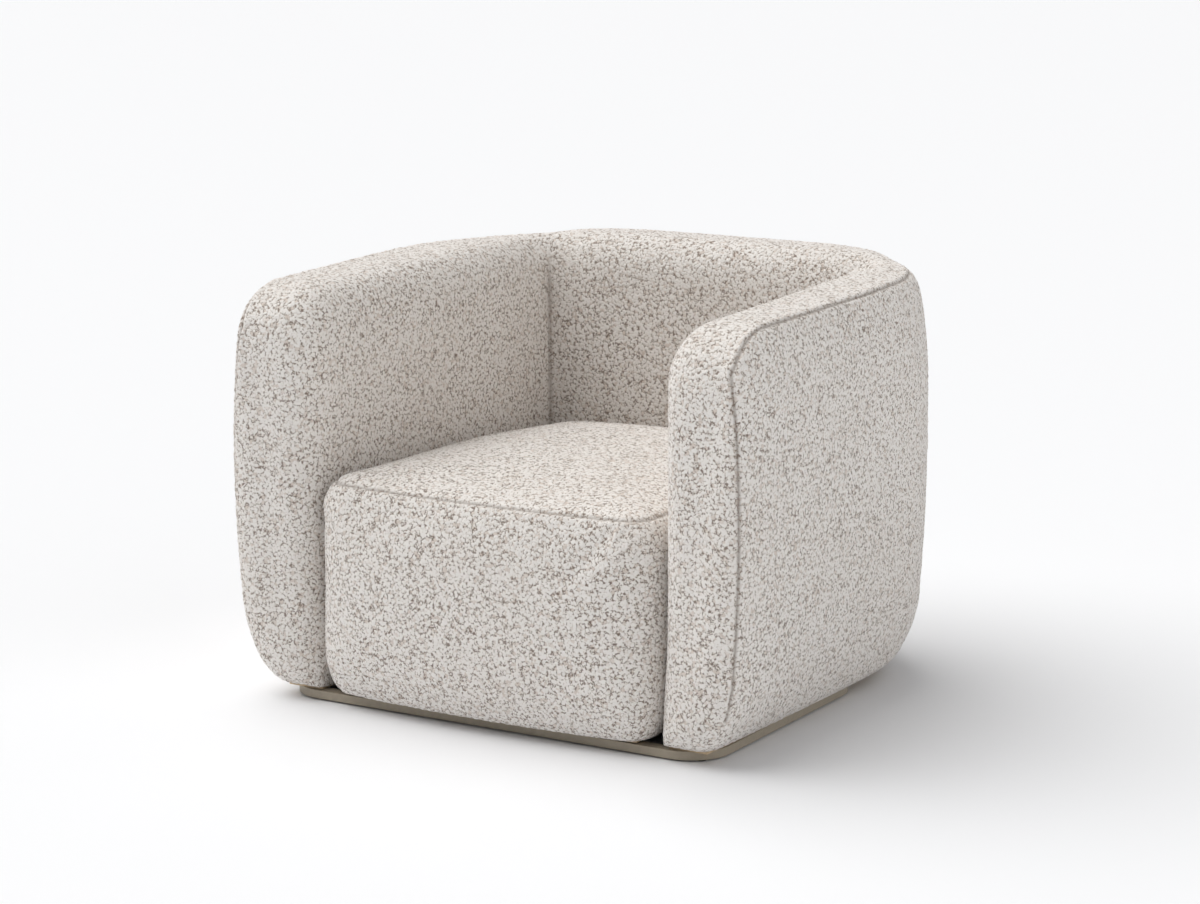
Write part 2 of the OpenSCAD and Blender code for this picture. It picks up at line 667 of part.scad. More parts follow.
module right_rail() {
  strip_plate([for (p = arm_frame_pts) from_out(p, board_d + board_t)],
    [for (p = arm_frame_pts) from_in(p, frame_in + panel_t)], frame_top - rail_h, frame_top);
}
module right_board() {
  strip_plate([for (p = arm_pts) from_out(p, board_d)],
    [for (p = arm_pts) from_out(p, board_d + board_t)], knee_z, frame_top);
}
module arm_base_left() { color(birch_ply) mirror([1, 0, 0]) right_base(); }
module arm_base_right() { color(birch_ply) right_base(); }
module arm_ribs_left() { color(birch_ply) mirror([1, 0, 0]) right_ribs(); }
module arm_ribs_right() { color(birch_ply) right_ribs(); }
module arm_inner_panel_left() { color(birch_ply) mirror([1, 0, 0]) right_panel(); }
module arm_inner_panel_right() { color(birch_ply) right_panel(); }
module arm_top_rail_left() { color(beech) mirror([1, 0, 0]) right_rail(); }
module arm_top_rail_right() { color(beech) right_rail(); }
module arm_outer_board_left() { color(fibreboard) mirror([1, 0, 0]) right_board(); }
module arm_outer_board_right() { color(fibreboard) right_board(); }

// ---------- corner plates and back frame ----------

back_st = corner_st[corner_steps - 1];
back_rail_x = back_st.x;
plate_st = [for (k = [1:corner_steps - 1]) corner_st[k]];

// The plates' plan: round the outer corner, and back along the inner line
module corner_base() {
  strip_plate([for (p = plate_st) from_out(p, rail_d)], [for (p = plate_st) from_in(p, pad_d)],
    base_z, ply_top);
}
module corner_top() {
  x = in_x(y_in) + frame_in + panel_t;
  strip_plate([for (p = plate_st) from_out(p, board_d + board_t)],
    concat([[in_x(rail_end) + frame_in + panel_t, rail_end]], cut_corner([x, web_y + strap_t], plate_r),
      [[back_rail_x, web_y + strap_t]]),
    frame_top - rail_h, frame_top);
}
module corner_base_plates() { color(birch_ply) both_sides() corner_base(); }
module corner_top_plates() { color(birch_ply) both_sides() corner_top(); }
back_half = [back_st, corner_st[corner_steps], [0, y_back]];
back_pts = whole(back_half);
module back_base() {
  color(birch_ply) difference() {
    strip_plate([for (p = back_pts) out_at(p, rail_d)],
      [for (p = back_pts) in_at(p, pad_d)], base_z, ply_top);
    screw_holes();
  }
}
module back_top_rail() {
  color(beech) strip_plate([for (p = back_pts) out_at(p, board_d + board_t)],
    [for (p = back_pts) [p.x, web_y + strap_t]], frame_top - rail_h, frame_top);
}

// An upright of the back: a foot on the base board, cranked over the rounded bottom edge
// y0 and y1 are the upright's faces above the crank
module upright(x, w, y0, y1) {
  foot = from_out(back_st, rail_d).y;
  translate([x - w / 2, 0, 0]) rotate([90, 0, 90]) linear_extrude(w)
    polygon([[foot - foot_d, ply_top], [foot, ply_top], [y1, knee_z + foot_rise],
      [y1, frame_top - rail_h], [y0, frame_top - rail_h], [y0, foam_low_z - fit],
      [foot - foot_d, knee_z]]);
}
foot_d = 34;
foot_rise = 20;
foam_low_z = seat_rim_h - 160;
post_d = post_w * 0.75;
module back_posts() {
  color(beech) both_sides()
    upright(back_rail_x - post_w / 2, post_w, web_y + strap_t, web_y + strap_t + post_d);
}
back_rib_x = back_rail_x * 0.45;
module back_ribs() {
  color(birch_ply) both_sides()
    upright(back_rib_x, ply_t, web_y + strap_t + fit, y_back - board_d - board_t - fit);
}
strap_z0 = seat_rim_h - 60;
strap_step = (frame_top - rail_h - strap_w - strap_z0) / (strap_count - 1);
module back_webbing() {
  color([0.25, 0.22, 0.2]) for (k = [0:strap_count - 1])
    translate([-back_rail_x, web_y, strap_z0 + k * strap_step]) cube([2 * back_rail_x, strap_t, strap_w]);
}
module back_outer_board() {
  pts = whole(concat(corner_st, [[0, y_back]]));
  color(fibreboard) strip_plate([for (p = pts) out_at(p, board_d)],
    [for (p = pts) out_at(p, board_d + board_t)], knee_z, frame_top);
}

// ---------- foam ----------

// Outer foam: from the underside round the bottom edge and up the wall to the rail's top
function foam_outer_ring(s) = let (
    d = soft_d, o = out_d(s, d), w = outer_strip(s, d), z1 = z_high(s, d) - top_outer_r + d,
    za = z_low(s, d) + bottom_r - d, keep = [for (q = w) if (q[1] < min(frame_top, z1) - 1) q],
    f = (frame_top - za) / (z1 - za))
  placed(s, concat(keep, [[o + bow_at(f), frame_top], [board_d - fit, frame_top],
    [board_d - fit, knee_z - fit], [rail_d - fit, ply_top], [rail_d - fit, base_z + d]]));

// Top foam: the roll above the frame
function foam_top_ring(s) = let (
    d = soft_d, o = out_d(s, d), i = in_d(s, d), w = wall_t(abs_p(s[0])), z0 = frame_top + fit,
    z1 = z_high(s, d), r = top_outer_r - d, q = inner_q(s, d),
    t1 = z1 - q < z0 ? asin(1 - (z1 - z0) / q) : 0, t2 = z1 - r < z0 ? asin(1 - (z1 - z0) / r) : 0)
  placed(s, concat(
    [for (k = [0:3]) let (t = t2 + (90 - t2) * k / 3) [o + wall_bow + r * (1 - cos(t)), z1 - r + r * sin(t)]],
    [for (k = [0:arc_steps]) let (t = 90 - (90 - t1) * k / arc_steps)
      [w - i - q * (1 - cos(t)), z1 - q * (1 - sin(t))]],
    t1 > 0 ? [] : [[w - i, z0]], t2 > 0 ? [] : [[o + wall_bow, z0]]));

soft_stations = concat([[at_y(front_y), front_y - y_arm]],
  front_stations(soft_d, round_steps / 2 + 1, round_steps - 1), arm_stations(y_arm + front_top_r));
module right_foam_outer() loft([for (s = soft_stations) foam_outer_ring(s)]);
module right_foam_top() loft([for (s = soft_stations) foam_top_ring(s)]);

// Half-width to the flat inner foam's face at y: it follows the arm front's inner rounding
function pad_x(y, d) = in_x(y) + max(d, edge(front_inner_r, y - y_arm, pad_d));
module right_foam_inner() {
  ys = [front_y, (front_y + y_arm + front_inner_r) / 2, y_arm + front_inner_r, inner_cy, y_in];
  a = concat([for (y = ys) [pad_x(y, pad_d), y]], [[pad_x(y_in, pad_d), inner_line_end]]);
  b = concat([for (y = [front_y, inner_cy, y_in]) [in_x(y) + pad_d + foam_in_t, y]],
    cut_corner([in_x(y_in) + pad_d + foam_in_t, inner_line_end], plate_r - fit));
  drop = edge(front_top_r, front_y - y_arm, 0);
  difference() {
    strip_plate(a, b, foam_low_z, frame_top);
    rotate([90, 0, 90]) linear_extrude(half_w) polygon([[front_y - 1, frame_top - drop],
      [y_arm + front_top_r, frame_top + tiny], [front_y - 1, frame_top + 1]]);
  }
}

// Front foam: the rounded arm front, as closed sections back to the front rib
module right_foam_front() {
  loft([for (s = front_stations(soft_d, 0, round_steps / 2))
    placed(s, concat(outer_strip(s, soft_d), [for (i = [1:strip_n - 1]) inner_strip(s, soft_d)[i]]))]);
}
module foam_outer_left() { color(foam_yellow) mirror([1, 0, 0]) right_foam_outer(); }
module foam_outer_right() { color(foam_yellow) right_foam_outer(); }
module foam_outer_back() { color(foam_yellow) loft([for (s = back_stations) foam_outer_ring(s)]); }
module foam_inner_left() { color(foam_yellow) mirror([1, 0, 0]) right_foam_inner(); }
module foam_inner_right() { color(foam_yellow) right_foam_inner(); }
module foam_inner_back() {
  w = in_x(y_in) + pad_d - fit;
  color(foam_yellow) translate([-w, y_in + pad_d, foam_low_z])
    cube([2 * w, foam_back_t, frame_top - foam_low_z]);
}
module foam_top_left() { color(foam_yellow) mirror([1, 0, 0]) right_foam_top(); }
module foam_top_right() { color(foam_yellow) right_foam_top(); }
module foam_top_back() { color(foam_yellow) loft([for (s = back_stations) foam_top_ring(s)]); }
module foam_front_left() { color(foam_yellow) mirror([1, 0, 0]) right_foam_front(); }
module foam_front_right() { color(foam_yellow) right_foam_front(); }

// ---------- covers ----------

module right_cover_outer() {
  sheet([for (s = skin_stations(0)) placed(s, outer_strip(s, 0))],
    [for (s = skin_stations(cover_t)) placed(s, outer_strip(s, cover_t))]);
}
module right_cover_inner() {
  a = skin_stations(0);
  b = skin_stations(cover_t);
  sheet(concat([on_front(a[0], reversed(outer_strip(a[0], 0)), 0)],
      [for (s = a) placed(s, inner_strip(s, 0))]),
    concat([on_front(b[0], reversed(outer_strip(b[0], cover_t)), cover_t)],
      [for (s = b) placed(s, inner_strip(s, cover_t))]));
}
module cover_outer_left() { color(cloth) mirror([1, 0, 0]) right_cover_outer(); }
module cover_outer_right() { color(cloth) right_cover_outer(); }
module cover_outer_back() {
  color(cloth) sheet([for (s = back_stations) placed(s, outer_strip(s, 0))],
    [for (s = back_stations) placed(s, outer_strip(s, cover_t))]);
}
module cover_inner_left() { color(cloth) mirror([1, 0, 0]) right_cover_inner(); }
module cover_inner_right() { color(cloth) right_cover_inner(); }
module cover_inner_back() {
  color(cloth) sheet([for (s = back_stations) placed(s, inner_strip(s, 0))],
    [for (s = back_stations) placed(s, inner_strip(s, cover_t))]);
}

plinth_front();
plinth_rear();
plinth_left();
plinth_right();
rear_foot_bar();
plinth_screws();
glides();
glide_nails();
dust_cover();
seat_front_panel();
seat_rear_panel();
seat_side_panel_left();
seat_side_panel_right();
seat_corner_blocks();
seat_springs();
spring_clips();
spring_tie_wires();
deck_felt();
seat_foam_core();
seat_foam_nose();
seat_side_pad_left();
seat_side_pad_right();
seat_topper();
seat_cover_top();
seat_cover_boxing();
arm_base_left();
arm_base_right();
arm_ribs_left();
arm_ribs_right();
arm_inner_panel_left();
arm_inner_panel_right();
arm_outer_board_left();
arm_outer_board_right();
arm_top_rail_left();
arm_top_rail_right();
corner_base_plates();
corner_top_plates();
back_base();
back_top_rail();
back_posts();
back_ribs();
back_webbing();
back_outer_board();
foam_outer_left();
foam_outer_right();
foam_outer_back();
foam_inner_left();
foam_inner_right();
foam_inner_back();
foam_top_left();
foam_top_right();
foam_top_back();
foam_front_left();
foam_front_right();
cover_outer_left();
cover_outer_right();
cover_outer_back();
cover_inner_left();
cover_inner_right();
cover_inner_back();
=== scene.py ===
"""Padding, covers, finishes and studio for a wrap-round upholstered armchair.

Lengths are metres. X runs across the chair, Y from front to back and Z up, with the origin on the
floor in the middle of the footprint.
"""

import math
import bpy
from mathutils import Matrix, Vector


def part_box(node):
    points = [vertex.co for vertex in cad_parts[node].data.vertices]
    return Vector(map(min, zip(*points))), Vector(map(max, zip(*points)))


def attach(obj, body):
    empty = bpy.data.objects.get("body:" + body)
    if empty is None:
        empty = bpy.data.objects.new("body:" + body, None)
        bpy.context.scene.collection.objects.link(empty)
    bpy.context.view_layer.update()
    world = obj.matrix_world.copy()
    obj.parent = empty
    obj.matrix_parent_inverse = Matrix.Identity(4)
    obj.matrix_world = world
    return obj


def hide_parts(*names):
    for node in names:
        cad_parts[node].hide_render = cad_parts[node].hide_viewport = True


bl_info = {
    "name": "Upholstered Armchair",
    "version": (1, 0, 0),
    "blender": (4, 5, 0),
    "location": "View3D > Sidebar > Armchair",
    "description": "Builds the padding, covers, finishes and studio of an upholstered armchair",
    "category": "Add Mesh",
}

import bpy
import numpy as np
from mathutils import Vector
from mathutils.bvhtree import BVHTree
from mathutils.kdtree import KDTree

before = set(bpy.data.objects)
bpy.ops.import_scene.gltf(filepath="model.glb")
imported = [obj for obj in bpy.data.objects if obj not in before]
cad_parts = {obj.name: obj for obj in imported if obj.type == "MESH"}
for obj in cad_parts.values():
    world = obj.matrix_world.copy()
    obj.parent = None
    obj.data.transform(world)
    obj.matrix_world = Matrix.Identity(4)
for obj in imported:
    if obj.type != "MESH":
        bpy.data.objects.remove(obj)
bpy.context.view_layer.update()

# ---------- sizes read from the frame ----------

SIDE_LOW, SIDE_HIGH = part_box("cover_outer_right")
BACK_LOW, BACK_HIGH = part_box("cover_outer_back")
INNER_LOW, INNER_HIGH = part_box("cover_inner_back")
SEAT_LOW, SEAT_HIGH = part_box("seat_cover_boxing")

HALF_W = SIDE_HIGH[0]
Y_ARM = SIDE_LOW[1]
Y_BACK = BACK_HIGH[1]
Y_IN = INNER_LOW[1]
BASE_Z = BACK_LOW[2]
TOP_Z = INNER_HIGH[2]
Y_NOSE = SEAT_LOW[1]
SEAT_BACK = SEAT_HIGH[1]

SIDES = ("left", "right")
COVERS = [f"cover_{face}_{part}" for face in ("outer", "inner") for part in (*SIDES, "back")]
FOAMS = [f"foam_{face}_{part}" for face in ("outer", "inner", "top") for part in (*SIDES, "back")]
FRONT_FOAMS = [f"foam_front_{side}" for side in SIDES]
SEAT_PARTS = ["seat_cover_top", "seat_cover_boxing", "seat_topper", "seat_foam_core",
              "seat_foam_nose", "seat_side_pad_left", "seat_side_pad_right"]


def length(name, description, default, low, high):
    """A length in metres that a user can change."""
    return bpy.props.FloatProperty(name=name, description=description, default=default,
                                   min=low, max=high, unit="LENGTH", precision=4)


def tint(name, description, default):
    """A colour that a user can change."""
    return bpy.props.FloatVectorProperty(name=name, description=description, default=default,
                                         size=3, min=0, max=1, subtype="COLOR")


class ShellSizes(bpy.types.PropertyGroup):
    """Shape of the arms and back."""

    arm_front_height: length("Arm height", "Height of the arms at their fronts", 0.664, 0.5, 0.8)
    arm_front_t: length("Arm front", "Thickness of an arm at its front", 0.161, 0.1, 0.25)
    arm_rear_t: length("Arm rear", "Thickness of an arm at the back", 0.173, 0.1, 0.25)
    side_taper: length("Taper", "Narrowing of the outer wall at the front", 0.012, 0, 0.05)
    corner_r: length("Corner", "Outer plan radius of the back corners", 0.340, 0.2, 0.38)
    inner_r: length("Inner corner", "Plan radius where arm and back meet", 0.024, 0.01, 0.06)
    wall_bow: length("Bow", "Swell of the outer wall at mid-height", 0.010, 0, 0.03)
    lean_front: length("Front lean", "How far the arms' upper walls lean in", 0.004, 0, 0.05)
    lean_corner: length("Corner lean", "How far the back corners' upper walls lean in", 0.022, 0, 0.05)
    lean_back: length("Back lean", "How far the back's upper wall leans in", 0.010, 0, 0.05)
    corner_droop: length("Corner droop", "How far the top dips over the back corners", 0.005, 0, 0.02)
    trim: length("Trim", "How far the cover lies inside the outer line at the back", 0.004, 0, 0.02)
    bottom_r: length("Bottom edge", "Height of the rounded bottom edge", 0.130, 0.04, 0.2)
    bottom_run: length("Bottom run", "Width of the rounded bottom edge", 0.076, 0.03, 0.12)
    top_outer_r: length("Outer top", "Radius of the outer top edge", 0.030, 0.01, 0.06)
    top_corner_r: length("Corner top", "Radius of the outer top edge at the back corners", 0.046, 0.01, 0.07)
    top_inner_r: length("Inner top", "Radius of the inner top edge", 0.062, 0.03, 0.09)
    front_top_r: length("Front top", "Radius of the arm's front top corner", 0.100, 0.05, 0.15)
    front_bottom_r: length("Front foot", "Radius of the arm's front lower corner", 0.055, 0.02, 0.1)
    front_inner_r: length("Front inner", "Plan radius of the front's inner edge", 0.050, 0.02, 0.07)
    front_outer_r: length("Front outer", "Plan radius of the front's outer edge", 0.022, 0.01, 0.05)
    swell: length("Swell", "Most that the padding may swell", 0.005, 0, 0.03)
    undersize: length("Undersize", "How much smaller the padding starts", 0.002, 0, 0.01)


class SeatSizes(bpy.types.PropertyGroup):
    """Shape of the seat block."""

    rim_height: length("Rim", "Height of the top edge", 0.378, 0.3, 0.5)
    crown: length("Crown", "Rise of the crown above the rim", 0.020, 0, 0.06)
    bow: length("Bow", "Swell of the seat front", 0.012, 0, 0.04)
    corner_r: length("Corner", "Plan radius of the front corners", 0.070, 0.03, 0.12)
    edge_r: length("Edge", "Radius of the top edge", 0.060, 0.02, 0.1)
    bottom_r: length("Bottom edge", "Height of the rounded bottom edge", 0.085, 0.03, 0.12)
    bottom_run: length("Bottom run", "Width of the rounded bottom edge", 0.038, 0.02, 0.08)
    rear_r: length("Rear corner", "Plan radius of the rear corners", 0.028, 0.01, 0.06)
    gap: length("Gap", "Gap between the seat and the arms", 0.002, 0, 0.01)
    rear_drop: length("Rear drop", "How far the rear corners are pulled down", 0.026, 0, 0.06)
    swell: length("Swell", "Most that the cushion may swell", 0.022, 0, 0.03)
    undersize: length("Undersize", "How much smaller the cushion starts", 0.004, 0, 0.01)


class ClothLook(bpy.types.PropertyGroup):
    """Colours and scale of the looped cover cloth, with a painted shade colour for the gaps between the
    loops and along the seams.
    """

    loop_size: length("Loop", "Width of one loop", 0.0050, 0.003, 0.02)
    loop_height: length("Loop height", "Height of the loops", 0.0016, 0, 0.004)
    light: tint("Loops", "Colour of the loops' tops", (0.94, 0.905, 0.87))
    mid: tint("Yarn", "Colour of the yarn between the tops", (0.80, 0.74, 0.685))
    # painted shade: this colour, put deep between the loops and along the seams, stands in for the shade
    # that falls there
    painted_shade: tint("Painted gap shade", "Colour deep between the loops", (0.24, 0.19, 0.155))
    fleck: tint("Flecks", "Colour of the odd darker loops", (0.66, 0.56, 0.49))


class BaseLook(bpy.types.PropertyGroup):
    """Colours of the base and the frame."""

    paint: tint("Paint", "Colour of the plinth", (0.40, 0.345, 0.265))
    birch: tint("Plywood", "Colour of the plywood", (0.72, 0.56, 0.37))
    beech: tint("Beech", "Colour of the beech rails", (0.62, 0.42, 0.26))
    board: tint("Fibreboard", "Colour of the fibreboard", (0.30, 0.20, 0.13))


class StudioLook(bpy.types.PropertyGroup):
    """Lights, floor and camera."""

    floor: tint("Floor", "Colour of the floor", (0.915, 0.925, 0.945))
    key: bpy.props.FloatProperty(name="Key", description="Strength of the key light",
                                 default=2.75, min=0, max=10)
    side: bpy.props.FloatProperty(name="Side", description="Strength of the light from the right",
                                  default=0.75, min=0, max=10)
    fill: bpy.props.FloatProperty(name="Fill", description="Strength of the light all round",
                                  default=0.25, min=0, max=5)
    softness: bpy.props.FloatProperty(name="Softness", description="Apparent size of the key light",
                                      default=math.radians(72), min=0, max=2, subtype="ANGLE")


GROUPS = {"armchair_shell": ShellSizes, "armchair_seat": SeatSizes, "armchair_cloth": ClothLook,
          "armchair_base": BaseLook, "armchair_studio": StudioLook}


# ---------- mesh helpers ----------


def new_object(name, points, faces):
    """A mesh object at the origin, with its place in its mesh."""
    mesh = bpy.data.meshes.new(name)
    mesh.from_pydata([tuple(p) for p in points], [], faces)
    mesh.validate()
    piece = bpy.data.objects.new(name, mesh)
    bpy.context.scene.collection.objects.link(piece)
    return piece


def only(piece):
    """Selects one object and makes it active."""
    bpy.ops.object.select_all(action="DESELECT")
    piece.select_set(True)
    bpy.context.view_layer.objects.active = piece


def apply_all(piece):
    """Applies every modifier on a piece."""
    only(piece)
    for modifier in list(piece.modifiers):
        bpy.ops.object.modifier_apply(modifier=modifier.name)


def loft(name, rings):
    """A closed solid through rings of points, capped at both ends."""
    rows, columns = len(rings), len(rings[0])
    faces = []
    for j in range(rows - 1):
        for i in range(columns):
            a, b = j * columns + i, j * columns + (i + 1) % columns
            faces.append((a, b, b + columns, a + columns))
    faces.append(tuple(reversed(range(columns))))
    faces.append(tuple(range((rows - 1) * columns, rows * columns)))
    piece = new_object(name, np.concatenate(rings), faces)
    only(piece)
    bpy.ops.object.mode_set(mode="EDIT")
    bpy.ops.mesh.select_all(action="SELECT")
    bpy.ops.mesh.normals_make_consistent(inside=False)
    bpy.ops.object.mode_set(mode="OBJECT")
    return piece


def points_of(mesh):
    """A mesh's vertices as rows."""
    flat = np.empty(len(mesh.vertices) * 3)
    mesh.vertices.foreach_get("co", flat)
    return flat.reshape(-1, 3)


def normals_of(mesh):
    """A mesh's vertex normals as rows."""
    flat = np.empty(len(mesh.vertices) * 3)
    mesh.vertices.foreach_get("normal", flat)
    return flat.reshape(-1, 3)


def set_points(mesh, points):
    """Moves a mesh's vertices."""
    mesh.vertices.foreach_set("co", np.asarray(points, dtype=float).ravel())
    mesh.update()


def remeshed(piece, voxel, rounds=4):
    """Gives a piece even cells and softens the voxel steps."""
    piece.data.remesh_voxel_size = voxel
    only(piece)
    bpy.ops.object.voxel_remesh()
    smooth = piece.modifiers.new("Even out", "SMOOTH")
    smooth.factor = 0.5
    smooth.iterations = rounds
    apply_all(piece)


def nearest(points, line):
    """Distance from each point to the nearest point of a line, and that point's index."""
    tree = KDTree(len(line))
    for i, p in enumerate(line):
        tree.insert(p, i)
    tree.balance()
    found = [tree.find(p)[1:] for p in points]
    return np.array([f[1] for f in found]), np.array([f[0] for f in found])


def even_steps(line, step):
    """Points at even steps along a line."""
    line = np.asarray(line)
    along = np.concatenate([[0], np.cumsum(np.linalg.norm(np.diff(line, axis=0), axis=1))])
    where = np.linspace(0, along[-1], max(2, int(along[-1] / step)))
    return np.stack([np.interp(where, along, line[:, k]) for k in range(3)], axis=1)


def laid_on(piece, line):
    """Moves a line's points onto a piece's surface."""
    tree = BVHTree.FromObject(piece, bpy.context.evaluated_depsgraph_get())
    return np.array([tree.find_nearest(Vector(p))[0] for p in line])


def smoothstep(low, high, value):
    """0 below low, 1 above high and smooth between."""
    f = np.clip((np.asarray(value) - low) / (high - low), 0, 1)
    return f * f * (3 - 2 * f)


# ---------- padding by cloth simulation ----------

SIM_FRAMES = 20
PRESSURE = 4.0
PARTLY_HELD = 0.35
SHELL_VOXEL = 0.007
SEAT_VOXEL = 0.0065
PIN_STEP = 0.004                 # spacing of the points that find a seam's held vertices
SEAM_STEP = 0.002                # spacing of the points that a seam is drawn in by


def puffed(piece, pinned, swell):
    """Swells a closed piece under pressure, by no more than swell and held at its pinned points."""
    before = points_of(piece.data)
    group = piece.vertex_groups.new(name="held")
    for weight in (PARTLY_HELD, 1.0):
        chosen = np.nonzero(pinned >= weight)[0]
        group.add([int(i) for i in chosen], weight, "REPLACE")
    cloth = piece.modifiers.new("Padding", "CLOTH")
    settings = cloth.settings
    settings.quality = 4
    settings.use_pressure = True
    settings.uniform_pressure_force = PRESSURE
    settings.effector_weights.gravity = 0
    settings.tension_stiffness = settings.compression_stiffness = 25
    settings.bending_stiffness = 2
    settings.vertex_group_mass = "held"
    cloth.point_cache.frame_start = 1
    cloth.point_cache.frame_end = SIM_FRAMES
    scene = bpy.context.scene
    for step in range(1, SIM_FRAMES + 1):
        scene.frame_set(step)
    evaluated = piece.evaluated_get(bpy.context.evaluated_depsgraph_get())
    after = points_of(evaluated.data)
    piece.modifiers.remove(cloth)
    piece.vertex_groups.clear()
    scene.frame_set(1)
    move = after - before
    size = np.linalg.norm(move, axis=1, keepdims=True)
    set_points(piece.data, before + move * np.minimum(1, swell / np.maximum(size, 1e-9)))


def shrunk(piece, amount):
    """Moves a piece's surface in along its normals."""
    set_points(piece.data, points_of(piece.data) - normals_of(piece.data) * amount)


def add_seams(piece, seams, reach=0.016):
    """Draws the surface in along each seam, with small puckers, and stores a painted shade along it, darkest
    on the seam line.
    """
    mesh = piece.data
    points, normals = points_of(mesh), normals_of(mesh)
    seam_shade = np.zeros(len(points))
    for seam in seams:
        line = laid_on(piece, even_steps(seam["line"], SEAM_STEP))
        inside = (points > line.min(0) - reach) & (points < line.max(0) + reach)
        near = np.nonzero(np.all(inside, axis=1))[0]
        gap, index = nearest(points[near], line)
        close = gap < reach
        near, gap, index = near[close], gap[close], index[close]
        strength = seam["strength"](line)[index]
        along = index * SEAM_STEP
        pucker = 1 + 0.30 * np.sin(along / 0.0135 * 2 * math.pi + 2.1 * np.sin(along * 31))
        groove = np.exp(-((gap / seam["width"]) ** 2))
        groove = groove + 0.35 * np.exp(-((gap / 0.009) ** 2)) * (pucker - 0.6)
        points[near] -= normals[near] * (groove * strength * seam["depth"])[:, None]
        # painted shade along the seam, kept in the seam attribute
        seam_shade[near] = np.maximum(seam_shade[near], np.exp(-((gap / 0.0026) ** 2)) * strength * seam["painted_shade"])
    set_points(mesh, points)
    layer = mesh.attributes.new("seam", "FLOAT", "POINT")
    layer.data.foreach_set("value", seam_shade)


def looped(piece, look):
    """Raises the cloth's loops out of the surface."""
    texture = bpy.data.textures.new("loops", "VORONOI")
    texture.noise_scale = look.loop_size * 1.5
    texture.noise_intensity = 1.2
    raise_loops = piece.modifiers.new("Loops", "DISPLACE")
    raise_loops.texture = texture
    raise_loops.texture_coords = "LOCAL"
    raise_loops.strength = -look.loop_height
    raise_loops.mid_level = 0.55
    apply_all(piece)
    bpy.data.textures.remove(texture)
    only(piece)
    bpy.ops.object.shade_smooth()


def subdivided(piece):
    """One subdivision of a finished padding."""
    divide = piece.modifiers.new("Subdivide", "SUBSURF")
    divide.levels = divide.render_levels = 1
    apply_all(piece)


# ---------- the shell's shape ----------


BOTTOM_ROUND = 2 / 1.75          # 1 for an ellipse's quarter, more for a flatter one
FOOT_FLARE = 0.003               # the inner wall's foot, over the edge of the base board


def edge(radius, behind):
    """Depth of a rounded edge of that radius, at a distance behind the front."""
    s = np.clip(radius - behind, 0, radius)
    return radius - math.sqrt(radius * radius - s * s)


